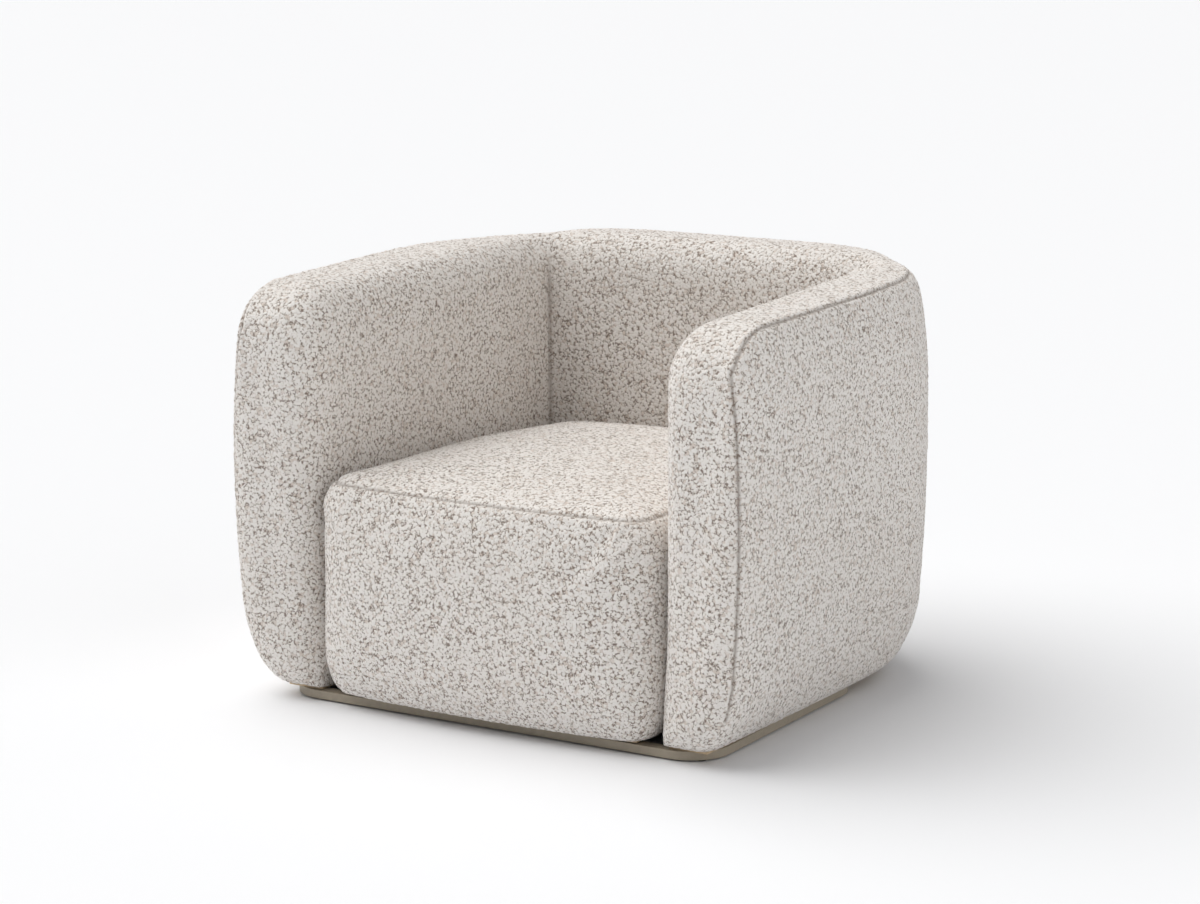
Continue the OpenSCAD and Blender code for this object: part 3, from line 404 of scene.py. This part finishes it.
class Shell:
    """Plan and section of the arms and back."""

    def __init__(self, sizes):
        self.s = sizes
        self.rear = Y_BACK - sizes.trim
        self.cap = (HALF_W - sizes.corner_r, self.rear - sizes.corner_r)
        self.inner = (HALF_W - sizes.arm_rear_t - sizes.inner_r, Y_IN - sizes.inner_r)

    def side_x(self, y):
        """Outer half-width at depth y along an arm."""
        back = max(0.0, self.cap[1] - y) / (self.cap[1] - Y_ARM)
        return HALF_W - self.s.side_taper * back * back

    def in_x(self, y):
        """Inner half-width at depth y."""
        f = min(1.0, max(0.0, (y - Y_ARM) / (self.inner[1] - Y_ARM)))
        return HALF_W - self.s.arm_front_t - (self.s.arm_rear_t - self.s.arm_front_t) * f

    def top(self, y):
        """Height of the top at depth y."""
        droop = self.s.corner_droop * smoothstep(0.05, 0.30, y) * (1 - smoothstep(0.36, self.rear, y))
        rise = (TOP_Z - self.s.arm_front_height) * (y - Y_ARM) / (Y_BACK - Y_ARM)
        return self.s.arm_front_height + rise - droop

    def stations(self):
        """Outer plan points of the right half, each with its distance behind the arm's front."""
        s = self.s
        found = []
        for angle in np.linspace(0, 90, 15):
            behind = s.front_top_r * (1 - math.cos(math.radians(angle)))
            found.append(((self.side_x(Y_ARM + behind), Y_ARM + behind), behind))
        for y in np.linspace(Y_ARM + s.front_top_r, self.cap[1], 20)[1:-1]:
            found.append(((self.side_x(y), y), y - Y_ARM))
        for angle in np.linspace(0, math.pi / 2, 25):
            point = (self.cap[0] + s.corner_r * math.cos(angle), self.cap[1] + s.corner_r * math.sin(angle))
            found.append((point, point[1] - Y_ARM))
        for x in np.linspace(self.cap[0], 0, 8)[1:]:
            found.append(((x, self.rear), self.rear - Y_ARM))
        return found

    def across(self, point):
        """Unit direction through the wall, from inside to outside."""
        if point[1] <= self.inner[1]:
            return np.array([1.0, 0.0])
        if point[0] <= self.inner[0]:
            return np.array([0.0, 1.0])
        way = np.array(point) - self.inner
        return way / np.linalg.norm(way)

    def facing(self, point):
        """Point of the inner wall that faces an outer point."""
        if point[1] <= self.inner[1]:
            return np.array([self.in_x(point[1]), point[1]])
        if point[0] <= self.inner[0]:
            return np.array([point[0], Y_IN])
        return np.array(self.inner) + self.s.inner_r * self.across(point)

    def corner(self, point):
        """1 at the middle of a back corner, 0 along the arm's front half."""
        return smoothstep(self.cap[1] - 0.12, self.cap[1] + 0.15, point[1])

    def middle(self, point):
        """1 at the middle of the back, 0 from the corner's diagonal forwards."""
        return smoothstep(self.cap[1] + 0.72 * self.s.corner_r, self.rear, point[1])

    def lean(self, point, z, top):
        """How far the outer wall leans in at a height."""
        s, corner, middle = self.s, self.corner(point), self.middle(point)
        most = s.lean_front + (s.lean_corner - s.lean_front) * corner
        most += (s.lean_back - s.lean_corner) * middle
        return most * max(0.0, (z / top - 0.45) / 0.55) ** 5

    def outer_top_r(self, point):
        """Radius of the outer top edge at an outer point."""
        s = self.s
        return s.top_outer_r + (s.top_corner_r - s.top_outer_r) * self.corner(point)

    def section(self, point, behind):
        """Closed ring of (depth from the outer line, height) at a station."""
        s = self.s
        wall = float(np.linalg.norm(np.array(point) - self.facing(point)))
        o, i = edge(s.front_outer_r, behind), edge(s.front_inner_r, behind)
        z0 = BASE_Z + edge(s.front_bottom_r, behind)
        z1 = self.top(point[1]) - edge(s.front_top_r, behind)
        run = min(s.bottom_run, 0.75 * (wall - o - i))
        p = self.outer_top_r(point)
        q = min(s.top_inner_r, wall - o - i - s.wall_bow - p - 0.002)
        za, zb = z0 + s.bottom_r, z1 - p
        ring = []
        for t in np.linspace(0, 90, 13):
            a = math.radians(t)
            ring.append((o + s.wall_bow + run * (1 - math.sin(a) ** BOTTOM_ROUND),
                         z0 + s.bottom_r * (1 - math.cos(a) ** BOTTOM_ROUND)))
        for f in np.linspace(0, 1, 20)[1:-1]:
            ring.append((o + s.wall_bow * (1 - 4 * f * (1 - f)), za + (zb - za) * f))
        for t in np.linspace(0, 90, 7):
            a = math.radians(t)
            ring.append((o + s.wall_bow + p * (1 - math.cos(a)), zb + p * math.sin(a)))
        for t in np.linspace(90, 0, 11):
            a = math.radians(t)
            ring.append((wall - i - q * (1 - math.cos(a)), z1 - q * (1 - math.sin(a))))
        for f in np.linspace(0, 1, 16)[1:]:
            z = (z1 - q) * (1 - f) + (z0 + 0.016) * f
            ring.append((wall - i + FOOT_FLARE * (1 - smoothstep(0.08, 0.20, z)), z))
        ring.append((wall - i + FOOT_FLARE, z0))
        top = max(z for _, z in ring)
        width = max(wall - i - o, 1e-6)
        return [(t + self.lean(point, z, top) * max(0.0, 1 - (t - o) / width), z) for t, z in ring]

    def place(self, point, flat, side):
        """A section's point in space, on the right (1) or the left (-1)."""
        way = self.across(point)
        return (side * (point[0] - way[0] * flat[0]), point[1] - way[1] * flat[0], flat[1])

    def rings(self):
        """Rings from the right arm's front round the back to the left arm's front."""
        half = self.stations()
        right = [[self.place(p, q, 1) for q in self.section(p, e)] for p, e in half]
        left = [[self.place(p, q, -1) for q in self.section(p, e)] for p, e in half[-2::-1]]
        return [np.array(r) for r in right + left]

    def edge_seam(self):
        """Seam up each arm's outer front edge, over the top edge and round the back."""
        s = self.s
        half = []
        low = BASE_Z + s.front_bottom_r
        high = self.top(Y_ARM) - s.front_top_r
        inset = s.front_outer_r * (1 - math.sqrt(0.5))
        front_x = self.side_x(Y_ARM) - inset
        for f in np.linspace(0, 1, 12)[:-1]:
            z = low + (high - low) * f
            bow = s.wall_bow * (2 * f - 1) ** 2
            half.append((front_x - bow, Y_ARM + inset, z))
        corner = 1 - math.sqrt(0.5)
        for point, behind in self.stations():
            if behind < inset:
                continue
            z1 = self.top(point[1]) - edge(s.front_top_r, behind)
            o = edge(s.front_outer_r, behind)
            p = self.outer_top_r(point)
            depth = o + s.wall_bow + p * corner + self.lean(point, z1, z1)
            half.append(self.place(point, (depth, z1 - p * corner), 1))
        half = np.array(half)
        return np.concatenate([half, half[-2::-1] * (-1, 1, 1)])

    def corner_creases(self):
        """The upright creases where the arms' inner walls meet the back's."""
        mid = np.array(self.inner) + self.s.inner_r * math.sqrt(0.5)
        top = self.top(Y_IN)
        return [np.array([(side * mid[0], mid[1], z) for z in np.linspace(0.30, top - 0.02, 20)])
                for side in (1, -1)]


# ---------- the seat block's shape ----------


class Seat:
    """Plan and profile of the seat block."""

    def __init__(self, sizes, shell):
        self.s = sizes
        self.shell = shell

    def half_plan(self, d):
        """Right half of the plan at depth d, from the middle of the back to the middle of the front."""
        s = self.s
        b, r = max(s.rear_r - d, 0.004), max(s.corner_r - d, 0.012)
        y0, y1 = Y_NOSE + s.bow + d, SEAT_BACK - d
        x_rear = self.shell.in_x(y1) - s.gap - d
        x_front = self.shell.in_x(y0 + r) - s.gap - d
        points = [(x, y1) for x in np.linspace(0, x_rear - b, 8)[:-1]]
        for t in np.linspace(90, 0, 6):
            a = math.radians(t)
            points.append((x_rear - b + b * math.cos(a), y1 - b + b * math.sin(a)))
        for y in np.linspace(y1 - b, y0 + r, 16)[1:-1]:
            points.append((self.shell.in_x(y) - s.gap - d, y))
        for t in np.linspace(0, -90, 12):
            a = math.radians(t)
            points.append((x_front - r + r * math.cos(a), y0 + r + r * math.sin(a)))
        for f in np.linspace(1, 0, 12)[1:]:
            points.append((f * (x_front - r), y0 - s.bow * (1 - f * f)))
        return points

    def ring(self, d, z):
        """Closed ring at depth d and height z."""
        half = self.half_plan(d)
        other = [(-x, y) for x, y in half[-2:0:-1]]
        plan = half + other
        return np.array([(x, y, z) for x, y in plan])

    def profile(self):
        """(depth, height) from the underside to the crown."""
        s = self.s
        rows = []
        for t in np.linspace(0, 90, 9):
            a = math.radians(t)
            rows.append((s.bottom_run * (1 - math.sin(a)), BASE_Z + s.bottom_r * (1 - math.cos(a))))
        for f in np.linspace(0, 1, 14)[1:-1]:
            low = BASE_Z + s.bottom_r
            rows.append((0.0, low + (s.rim_height - s.edge_r - low) * f))
        for t in np.linspace(0, 90, 11):
            a = math.radians(t)
            rows.append((s.edge_r * (1 - math.cos(a)), s.rim_height - s.edge_r + s.edge_r * math.sin(a)))
        wide = self.shell.in_x(0) - s.gap
        for f in np.linspace(0, 1, 10)[1:]:
            depth = s.edge_r + (wide - s.edge_r - 0.03) * f
            rows.append((depth, s.rim_height + s.crown * math.sin(f * math.pi / 2)))
        return rows

    def drop(self, points):
        """Lowers the top towards the rear corners, where the cover is pulled down."""
        rear = smoothstep(-0.05, SEAT_BACK, points[:, 1])
        aside = np.abs(points[:, 0]) / self.shell.in_x(0)
        high = smoothstep(0.20, self.s.rim_height, points[:, 2])
        points[:, 2] -= self.s.rear_drop * rear * (0.25 + 0.75 * aside**2) * high
        return points

    def rings(self):
        """Rings from the underside to the crown."""
        return [self.drop(self.ring(d, z)) for d, z in self.profile()]

    def top_seam(self):
        """Seam round the seat's top edge."""
        s = self.s
        a = math.radians(52)
        line = self.ring(s.edge_r * (1 - math.cos(a)), s.rim_height - s.edge_r + s.edge_r * math.sin(a))
        return self.drop(np.concatenate([line, line[:1]]))


# ---------- shader nodes ----------


class Nodes:
    """Short calls for building a node tree."""

    def __init__(self, tree):
        self.tree = tree

    def add(self, kind, inputs=None, **settings):
        """Adds a node, sets its properties, and fills its inputs with values or links."""
        node = self.tree.nodes.new(kind)
        for name, value in settings.items():
            setattr(node, name, value)
        for name, value in (inputs or {}).items():
            if isinstance(value, bpy.types.NodeSocket):
                self.tree.links.new(value, node.inputs[name])
            else:
                node.inputs[name].default_value = value
        return node

    def math(self, operation, *values):
        """A Math node's result."""
        return self.add("ShaderNodeMath", dict(enumerate(values)), operation=operation).outputs[0]

    def blend(self, factor, a, b, mode="MIX"):
        """A colour mix's result."""
        node = self.add("ShaderNodeMix", data_type="RGBA", blend_type=mode, clamp_factor=True)
        for index, value in ((0, factor), (6, a), (7, b)):
            if isinstance(value, bpy.types.NodeSocket):
                self.tree.links.new(value, node.inputs[index])
            else:
                node.inputs[index].default_value = value
        return node.outputs[2]

    def ramp(self, value, low, high):
        """A value stretched from low..high to 0..1, smooth at both ends."""
        return self.add("ShaderNodeMapRange", {"Value": value, "From Min": low, "From Max": high},
                        interpolation_type="SMOOTHSTEP").outputs["Result"]

    def noise(self, vector, scale, detail=2.0, rough=0.5):
        """A noise texture's value."""
        return self.add("ShaderNodeTexNoise", {"Vector": vector, "Scale": scale, "Detail": detail,
                                               "Roughness": rough}).outputs["Fac"]


def rgba(colour):
    """A colour with full alpha."""
    return (*colour[:3], 1.0)


def group(name, inputs, outputs):
    """An empty shader node group with those sockets: its nodes, its given sockets and its results."""
    tree = bpy.data.node_groups.new(name, "ShaderNodeTree")
    for label, kind in inputs:
        tree.interface.new_socket(name=label, in_out="INPUT", socket_type=kind)
    for label, kind in outputs:
        tree.interface.new_socket(name=label, in_out="OUTPUT", socket_type=kind)
    nodes = Nodes(tree)
    return nodes, nodes.add("NodeGroupInput").outputs, nodes.add("NodeGroupOutput").inputs


FLOAT, COLOUR, VECTOR = "NodeSocketFloat", "NodeSocketColor", "NodeSocketVector"


def loop_group():
    """Looped yarn: round knots with painted shade in the gaps, odd darker loops, a fine twist and painted
    shade along the seams.
    """
    nodes, given, out = group("looped_yarn", [
        ("Vector", VECTOR), ("Scale", FLOAT), ("Light", COLOUR), ("Mid", COLOUR), ("Painted Shade", COLOUR),
        ("Fleck", COLOUR), ("Seam", FLOAT)], [("Color", COLOUR), ("Height", FLOAT)])
    link = nodes.tree.links.new
    vector, scale = given["Vector"], given["Scale"]
    warp = nodes.add("ShaderNodeTexNoise", {"Vector": vector, "Detail": 1.0})
    link(nodes.math("MULTIPLY", scale, 0.8), warp.inputs["Scale"])
    centred = nodes.add("ShaderNodeVectorMath", {0: warp.outputs["Color"], 1: (0.5, 0.5, 0.5)},
                        operation="SUBTRACT")
    pull = nodes.add("ShaderNodeVectorMath", {0: centred.outputs[0]}, operation="SCALE")
    link(nodes.math("DIVIDE", 1.1, scale), pull.inputs["Scale"])
    bent = nodes.add("ShaderNodeVectorMath", {0: vector, 1: pull.outputs[0]}, operation="ADD").outputs[0]
    knots = nodes.add("ShaderNodeTexVoronoi", {"Vector": bent, "Scale": scale, "Randomness": 1.0})
    small = nodes.add("ShaderNodeTexVoronoi", {"Vector": bent, "Randomness": 1.0})
    link(nodes.math("MULTIPLY", scale, 2.3), small.inputs["Scale"])
    dome = nodes.math("SUBTRACT", 1.0, nodes.ramp(knots.outputs["Distance"], 0.08, 0.74))
    curl = nodes.math("SUBTRACT", 1.0, nodes.ramp(small.outputs["Distance"], 0.05, 0.70))
    height = nodes.math("ADD", nodes.math("MULTIPLY", dome, 0.68), nodes.math("MULTIPLY", curl, 0.32))
    link(height, out["Height"])
    # painted shade: the lowest heights between the knots take the shade colour, rising through the yarn
    # colour to the loops' own colour on top
    base = nodes.blend(nodes.ramp(height, 0.0, 0.15), given["Painted Shade"], given["Mid"])
    base = nodes.blend(nodes.ramp(height, 0.10, 0.32), base, given["Light"])
    chosen = nodes.add("ShaderNodeSeparateColor", {"Color": knots.outputs["Color"]}).outputs[0]
    fleck = nodes.math("MULTIPLY", nodes.ramp(chosen, 0.78, 0.95), 0.55)
    base = nodes.blend(fleck, base, given["Fleck"], "MULTIPLY")
    wide = nodes.noise(vector, 7.0, 3.0)
    base = nodes.blend(nodes.math("MULTIPLY", nodes.ramp(wide, 0.35, 0.7), 0.12), base, given["Mid"])
    # painted shade: the seam attribute darkens the colour towards the shade colour along the seams
    seam = nodes.math("MULTIPLY", given["Seam"], 0.75)
    link(nodes.blend(seam, base, given["Painted Shade"]), out["Color"])
    return nodes.tree


def grain_group():
    """Wood grain along X, Y or Z by the scale vector, with pores and a slow change of tone."""
    nodes, given, out = group("timber_grain", [
        ("Vector", VECTOR), ("Stretch", VECTOR), ("Tone", COLOUR), ("Late", COLOUR)],
        [("Color", COLOUR), ("Roughness", FLOAT), ("Height", FLOAT)])
    link = nodes.tree.links.new
    drawn = nodes.add("ShaderNodeVectorMath", {0: given["Vector"], 1: given["Stretch"]},
                      operation="MULTIPLY").outputs[0]
    rings = nodes.noise(drawn, 9.0, 4.0, 0.6)
    pores = nodes.noise(drawn, 60.0, 2.0, 0.7)
    slow = nodes.noise(given["Vector"], 3.0, 1.0)
    tone = nodes.blend(nodes.ramp(rings, 0.38, 0.62), given["Tone"], given["Late"])
    patch = nodes.math("MULTIPLY", nodes.ramp(slow, 0.3, 0.7), 0.2)
    tone = nodes.blend(patch, tone, given["Late"], "MULTIPLY")
    link(tone, out["Color"])
    link(nodes.math("ADD", 0.5, nodes.math("MULTIPLY", pores, 0.25)), out["Roughness"])
    ridges = nodes.math("MULTIPLY", rings, 0.4)
    link(nodes.math("ADD", ridges, nodes.math("MULTIPLY", pores, 0.6)), out["Height"])
    return nodes.tree


def fleck_group():
    """Speckle and slow patches, for metal, paint, felt and board."""
    nodes, given, out = group("speckle", [
        ("Vector", VECTOR), ("Scale", FLOAT), ("Tone", COLOUR), ("Other", COLOUR), ("Matt", FLOAT)],
        [("Color", COLOUR), ("Roughness", FLOAT), ("Height", FLOAT)])
    link = nodes.tree.links.new
    fine = nodes.add("ShaderNodeTexNoise", {"Vector": given["Vector"], "Detail": 4.0, "Roughness": 0.65})
    link(given["Scale"], fine.inputs["Scale"])
    slow = nodes.noise(given["Vector"], 12.0, 2.0)
    mask = nodes.math("MULTIPLY", nodes.ramp(fine.outputs["Fac"], 0.42, 0.66), nodes.ramp(slow, 0.2, 0.8))
    link(nodes.blend(mask, given["Tone"], given["Other"]), out["Color"])
    grit = nodes.math("MULTIPLY", fine.outputs["Fac"], 0.2)
    link(nodes.math("ADD", given["Matt"], grit), out["Roughness"])
    link(fine.outputs["Fac"], out["Height"])
    return nodes.tree


def shared(name, make):
    """A node group, made the first time that it is asked for."""
    return bpy.data.node_groups.get(name) or make()


def material(name, tree, values, bump, links=(), **sockets):
    """A material whose colour, roughness and relief come from a shared group."""
    made = bpy.data.materials.new(name)
    made.use_nodes = True
    nodes = Nodes(made.node_tree)
    shader = made.node_tree.nodes["Principled BSDF"]
    for label, value in sockets.items():
        shader.inputs[label.replace("_", " ")].default_value = value
    effect = nodes.add("ShaderNodeGroup", node_tree=tree)
    nodes.tree.links.new(nodes.add("ShaderNodeTexCoord").outputs["Object"], effect.inputs["Vector"])
    for label, value in values.items():
        effect.inputs[label].default_value = value
    for attribute, label in links:
        source = nodes.add("ShaderNodeAttribute", attribute_name=attribute)
        nodes.tree.links.new(source.outputs["Fac"], effect.inputs[label])
    nodes.tree.links.new(effect.outputs["Color"], shader.inputs["Base Color"])
    if "Roughness" in effect.outputs:
        nodes.tree.links.new(effect.outputs["Roughness"], shader.inputs["Roughness"])
    strength, distance = bump
    relief = nodes.add("ShaderNodeBump", {"Strength": strength, "Distance": distance,
                                          "Height": effect.outputs["Height"]})
    nodes.tree.links.new(relief.outputs["Normal"], shader.inputs["Normal"])
    return made


def boucle(look):
    """The looped cover cloth."""
    name = "boucle_cloth"
    if name in bpy.data.materials:
        return bpy.data.materials[name]
    # the shade colour here is the painted shade for the gaps between the loops and along the seams
    values = {"Scale": 1 / look.loop_size, "Light": rgba(look.light), "Mid": rgba(look.mid),
              "Painted Shade": rgba(look.painted_shade), "Fleck": rgba(look.fleck)}
    # the seam attribute carries the painted seam shade into the cloth's colour
    return material(name, shared("looped_yarn", loop_group), values, (1.0, look.loop_height),
                    links=[("seam", "Seam")], Roughness=0.92, Sheen_Weight=0.25, Sheen_Roughness=0.5,
                    Specular_IOR_Level=0.25)


def timber(name, tone, late, stretch, **sockets):
    """A raw timber."""
    values = {"Tone": rgba(tone), "Late": rgba(late), "Stretch": stretch}
    return material(name, shared("timber_grain", grain_group), values, (0.25, 0.0004), **sockets)


def speckled(name, tone, other, scale, matt, relief, **sockets):
    """A paint, metal, felt or moulded finish."""
    values = {"Tone": rgba(tone), "Other": rgba(other), "Scale": scale, "Matt": matt}
    return material(name, shared("speckle", fleck_group), values, relief, **sockets)


def darker(colour, share):
    """A colour at a share of its brightness."""
    return tuple(c * share for c in colour)


def dress(names, finish):
    """Gives CAD nodes a finish through their objects' material slots."""
    for name in names:
        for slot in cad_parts[name].material_slots:
            slot.material = finish


# ---------- operators ----------


def finish_cover(piece, look, nodes):
    """Dresses a padded piece in the looped cloth and ties it to the frame."""
    piece.data.materials.clear()
    piece.data.materials.append(boucle(look))
    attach(piece, "root")
    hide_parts(*nodes)


class ARMCHAIR_OT_shell(bpy.types.Operator):
    """Pads and covers the arms and back"""

    bl_idname = "armchair.shell"
    bl_label = "Arms and back"

    def execute(self, context):
        scene = context.scene
        sizes = scene.armchair_shell
        shell = Shell(sizes)
        piece = loft("shell_upholstery", shell.rings())
        remeshed(piece, SHELL_VOXEL)
        shrunk(piece, sizes.undersize)
        line = laid_on(piece, even_steps(shell.edge_seam(), PIN_STEP))
        points = points_of(piece.data)
        gap, _ = nearest(points, line)
        low = points[:, 2] < BASE_Z + 0.03
        pinned = np.where(gap < 0.007, 1.0, np.where(low, PARTLY_HELD, 0.0))
        puffed(piece, pinned, sizes.swell)
        subdivided(piece)
        # each seam's shade value sets how dark the painted shade along it is
        seams = [{"line": shell.edge_seam(), "depth": 0.0030, "width": 0.0038, "painted_shade": 1.0,
                  "strength": lambda line: np.ones(len(line))}]
        for crease in shell.corner_creases():
            seams.append({"line": crease, "depth": 0.0050, "width": 0.0060, "painted_shade": 0.9,
                          "strength": lambda line: 1 - smoothstep(0.57, 0.655, line[:, 2])})
        add_seams(piece, seams)
        looped(piece, scene.armchair_cloth)
        finish_cover(piece, scene.armchair_cloth, [*COVERS, *FOAMS, *FRONT_FOAMS])
        return {"FINISHED"}


class ARMCHAIR_OT_seat(bpy.types.Operator):
    """Pads and covers the seat block"""

    bl_idname = "armchair.seat"
    bl_label = "Seat"

    def execute(self, context):
        scene = context.scene
        sizes = scene.armchair_seat
        seat = Seat(sizes, Shell(scene.armchair_shell))
        piece = loft("seat_upholstery", seat.rings())
        remeshed(piece, SEAT_VOXEL)
        shrunk(piece, sizes.undersize)
        line = laid_on(piece, even_steps(seat.top_seam(), PIN_STEP))
        points = points_of(piece.data)
        gap, _ = nearest(points, line)
        wall = (np.abs(points[:, 0]) > 0.27) & (points[:, 1] > Y_NOSE + 0.09)
        rear = points[:, 1] > SEAT_BACK - 0.03
        held = (points[:, 2] < BASE_Z + 0.03) | ((wall | rear) & (points[:, 2] < 0.34))
        pinned = np.where((gap < 0.006) | held, 1.0, 0.0)
        puffed(piece, pinned, sizes.swell)
        subdivided(piece)
        # the shade value sets how dark the painted shade along the seat's seam is
        seam = {"line": seat.top_seam(), "depth": 0.0024, "width": 0.0034, "painted_shade": 0.8,
                "strength": lambda line: 1 - 0.8 * smoothstep(-0.38, -0.20, line[:, 1])}
        add_seams(piece, [seam])
        looped(piece, scene.armchair_cloth)
        finish_cover(piece, scene.armchair_cloth, SEAT_PARTS)
        return {"FINISHED"}


class ARMCHAIR_OT_base(bpy.types.Operator):
    """Paints the plinth and finishes its glides and fasteners"""

    bl_idname = "armchair.base"
    bl_label = "Plinth and glides"

    def execute(self, context):
        look = context.scene.armchair_base
        paint = speckled("taupe_paint", look.paint, darker(look.paint, 0.82), 90.0, 0.38, (0.15, 0.0002),
                         Coat_Weight=0.15)
        dress(["plinth_front", "plinth_rear", "plinth_left", "plinth_right", "rear_foot_bar"], paint)
        nylon = speckled("glide_nylon", (0.03, 0.03, 0.03), (0.06, 0.06, 0.06), 400.0, 0.45, (0.1, 0.0001))
        dress(["glides"], nylon)
        zinc = speckled("zinc_steel", (0.62, 0.63, 0.65), (0.45, 0.46, 0.48), 220.0, 0.22, (0.08, 0.0001),
                        Metallic=1.0)
        dress(["plinth_screws", "glide_nails", "spring_clips"], zinc)
        return {"FINISHED"}


class ARMCHAIR_OT_timber(bpy.types.Operator):
    """Gives the timber frame its plywood, beech and fibreboard"""

    bl_idname = "armchair.timber"
    bl_label = "Timber frame"

    def execute(self, context):
        look = context.scene.armchair_base
        birch = timber("birch_ply", look.birch, darker(look.birch, 0.78), (2.0, 14.0, 2.0))
        dress(["seat_front_panel", "seat_rear_panel", "seat_side_panel_left", "seat_side_panel_right",
               "arm_base_left", "arm_base_right", "arm_ribs_left", "arm_ribs_right",
               "arm_inner_panel_left", "arm_inner_panel_right", "corner_base_plates",
               "corner_top_plates", "back_base", "back_ribs"], birch)
        beech = timber("beech", look.beech, darker(look.beech, 0.7), (16.0, 2.0, 16.0))
        dress(["seat_corner_blocks", "arm_top_rail_left", "arm_top_rail_right", "back_top_rail",
               "back_posts"], beech)
        board = speckled("fibreboard", look.board, darker(look.board, 0.7), 500.0, 0.6, (0.2, 0.0002))
        dress(["arm_outer_board_left", "arm_outer_board_right", "back_outer_board"], board)
        return {"FINISHED"}


class ARMCHAIR_OT_suspension(bpy.types.Operator):
    """Finishes the springs, the felt and the webbing"""

    bl_idname = "armchair.suspension"
    bl_label = "Suspension"

    def execute(self, context):
        wire = speckled("spring_steel", (0.23, 0.23, 0.25), (0.10, 0.10, 0.11), 160.0, 0.25, (0.1, 0.0001),
                        Metallic=1.0)
        dress(["seat_springs", "spring_tie_wires"], wire)
        felt = speckled("grey_felt", (0.16, 0.16, 0.17), (0.32, 0.31, 0.30), 700.0, 0.8, (0.8, 0.0006))
        dress(["deck_felt"], felt)
        webbing = speckled("brown_webbing", (0.10, 0.075, 0.055), (0.22, 0.17, 0.13), 500.0, 0.75,
                           (0.8, 0.0006))
        dress(["back_webbing"], webbing)
        nonwoven = speckled("black_nonwoven", (0.02, 0.02, 0.022), (0.05, 0.05, 0.055), 900.0, 0.75,
                            (0.6, 0.0004))
        dress(["dust_cover"], nonwoven)
        return {"FINISHED"}


def lamp(scene, name, source, strength, softness):
    """A distant soft light shining from a direction."""
    light = bpy.data.lights.new(name, "SUN")
    light.energy, light.angle = strength, softness
    light.color = (1.0, 0.985, 0.965)
    holder = bpy.data.objects.new(name, light)
    holder.rotation_mode = "QUATERNION"
    holder.rotation_quaternion = source.to_track_quat("Z", "Y")
    scene.collection.objects.link(holder)


CAMERA_TARGET = Vector((-0.0322, 0.0, 0.365))
CAMERA_AZIMUTH, CAMERA_ELEVATION = math.radians(30.96), math.radians(11.34)
CAMERA_DISTANCE, CAMERA_LENS = 5.2135, 96.14
KEY_FROM = Vector((-0.52, -0.06, 0.86))
SIDE_FROM = Vector((0.93, -0.05, 0.36))
FLOOR_HALF = 60.0


class ARMCHAIR_OT_studio(bpy.types.Operator):
    """Makes the floor, the lights and the camera"""

    bl_idname = "armchair.studio"
    bl_label = "Studio"

    def execute(self, context):
        scene = context.scene
        look = scene.armchair_studio
        bpy.ops.object.select_all(action="DESELECT")
        bpy.ops.mesh.primitive_plane_add(size=2 * FLOOR_HALF)
        floor = context.active_object
        floor.name = floor.data.name = "studio_floor"
        finish = bpy.data.materials.new("studio_floor")
        finish.use_nodes = True
        shader = finish.node_tree.nodes["Principled BSDF"]
        shader.inputs["Base Color"].default_value = rgba(look.floor)
        shader.inputs["Roughness"].default_value = 0.7
        shader.inputs["Specular IOR Level"].default_value = 0.15
        floor.data.materials.append(finish)
        lamp(scene, "key", KEY_FROM, look.key, look.softness)
        lamp(scene, "side", SIDE_FROM, look.side, look.softness)
        world = bpy.data.worlds.new("studio")
        world.use_nodes = True
        sky = world.node_tree.nodes["Background"]
        sky.inputs["Color"].default_value = (0.965, 0.98, 1.0, 1.0)
        sky.inputs["Strength"].default_value = look.fill
        scene.world = world
        scene.view_settings.view_transform = "Standard"
        lens = bpy.data.cameras.new("camera")
        lens.sensor_width = 36.0
        lens.lens = CAMERA_LENS
        camera = bpy.data.objects.new("camera", lens)
        back = Vector((math.sin(CAMERA_AZIMUTH) * math.cos(CAMERA_ELEVATION),
                       -math.cos(CAMERA_AZIMUTH) * math.cos(CAMERA_ELEVATION), math.sin(CAMERA_ELEVATION)))
        camera.location = CAMERA_TARGET + back * CAMERA_DISTANCE
        camera.rotation_mode = "QUATERNION"
        camera.rotation_quaternion = (-back).to_track_quat("-Z", "Y")
        scene.collection.objects.link(camera)
        scene.camera = camera
        return {"FINISHED"}


class ARMCHAIR_PT_panel(bpy.types.Panel):
    """Lists the armchair's pieces"""

    bl_idname = "ARMCHAIR_PT_panel"
    bl_label = "Armchair"
    bl_space_type = "VIEW_3D"
    bl_region_type = "UI"
    bl_category = "Armchair"

    def draw(self, context):
        for operator in OPERATORS:
            self.layout.operator(operator.bl_idname)
        for name, kind in GROUPS.items():
            column = self.layout.box().column()
            for prop in kind.__annotations__:
                column.prop(getattr(context.scene, name), prop)


OPERATORS = (ARMCHAIR_OT_studio, ARMCHAIR_OT_shell, ARMCHAIR_OT_seat, ARMCHAIR_OT_base,
             ARMCHAIR_OT_timber, ARMCHAIR_OT_suspension)
CLASSES = (*GROUPS.values(), *OPERATORS, ARMCHAIR_PT_panel)


def register():
    """Registers the classes and puts the settings on the scene."""
    for kind in CLASSES:
        bpy.utils.register_class(kind)
    for name, kind in GROUPS.items():
        setattr(bpy.types.Scene, name, bpy.props.PointerProperty(type=kind))


def unregister():
    """Takes the settings and classes away again."""
    for name in GROUPS:
        delattr(bpy.types.Scene, name)
    for kind in reversed(CLASSES):
        bpy.utils.unregister_class(kind)


def main():
    """Builds the armchair and its studio."""
    register()
    for operator in OPERATORS:
        family, name = operator.bl_idname.split(".")
        getattr(getattr(bpy.ops, family), name)()


if __name__ == "__main__":
    main()
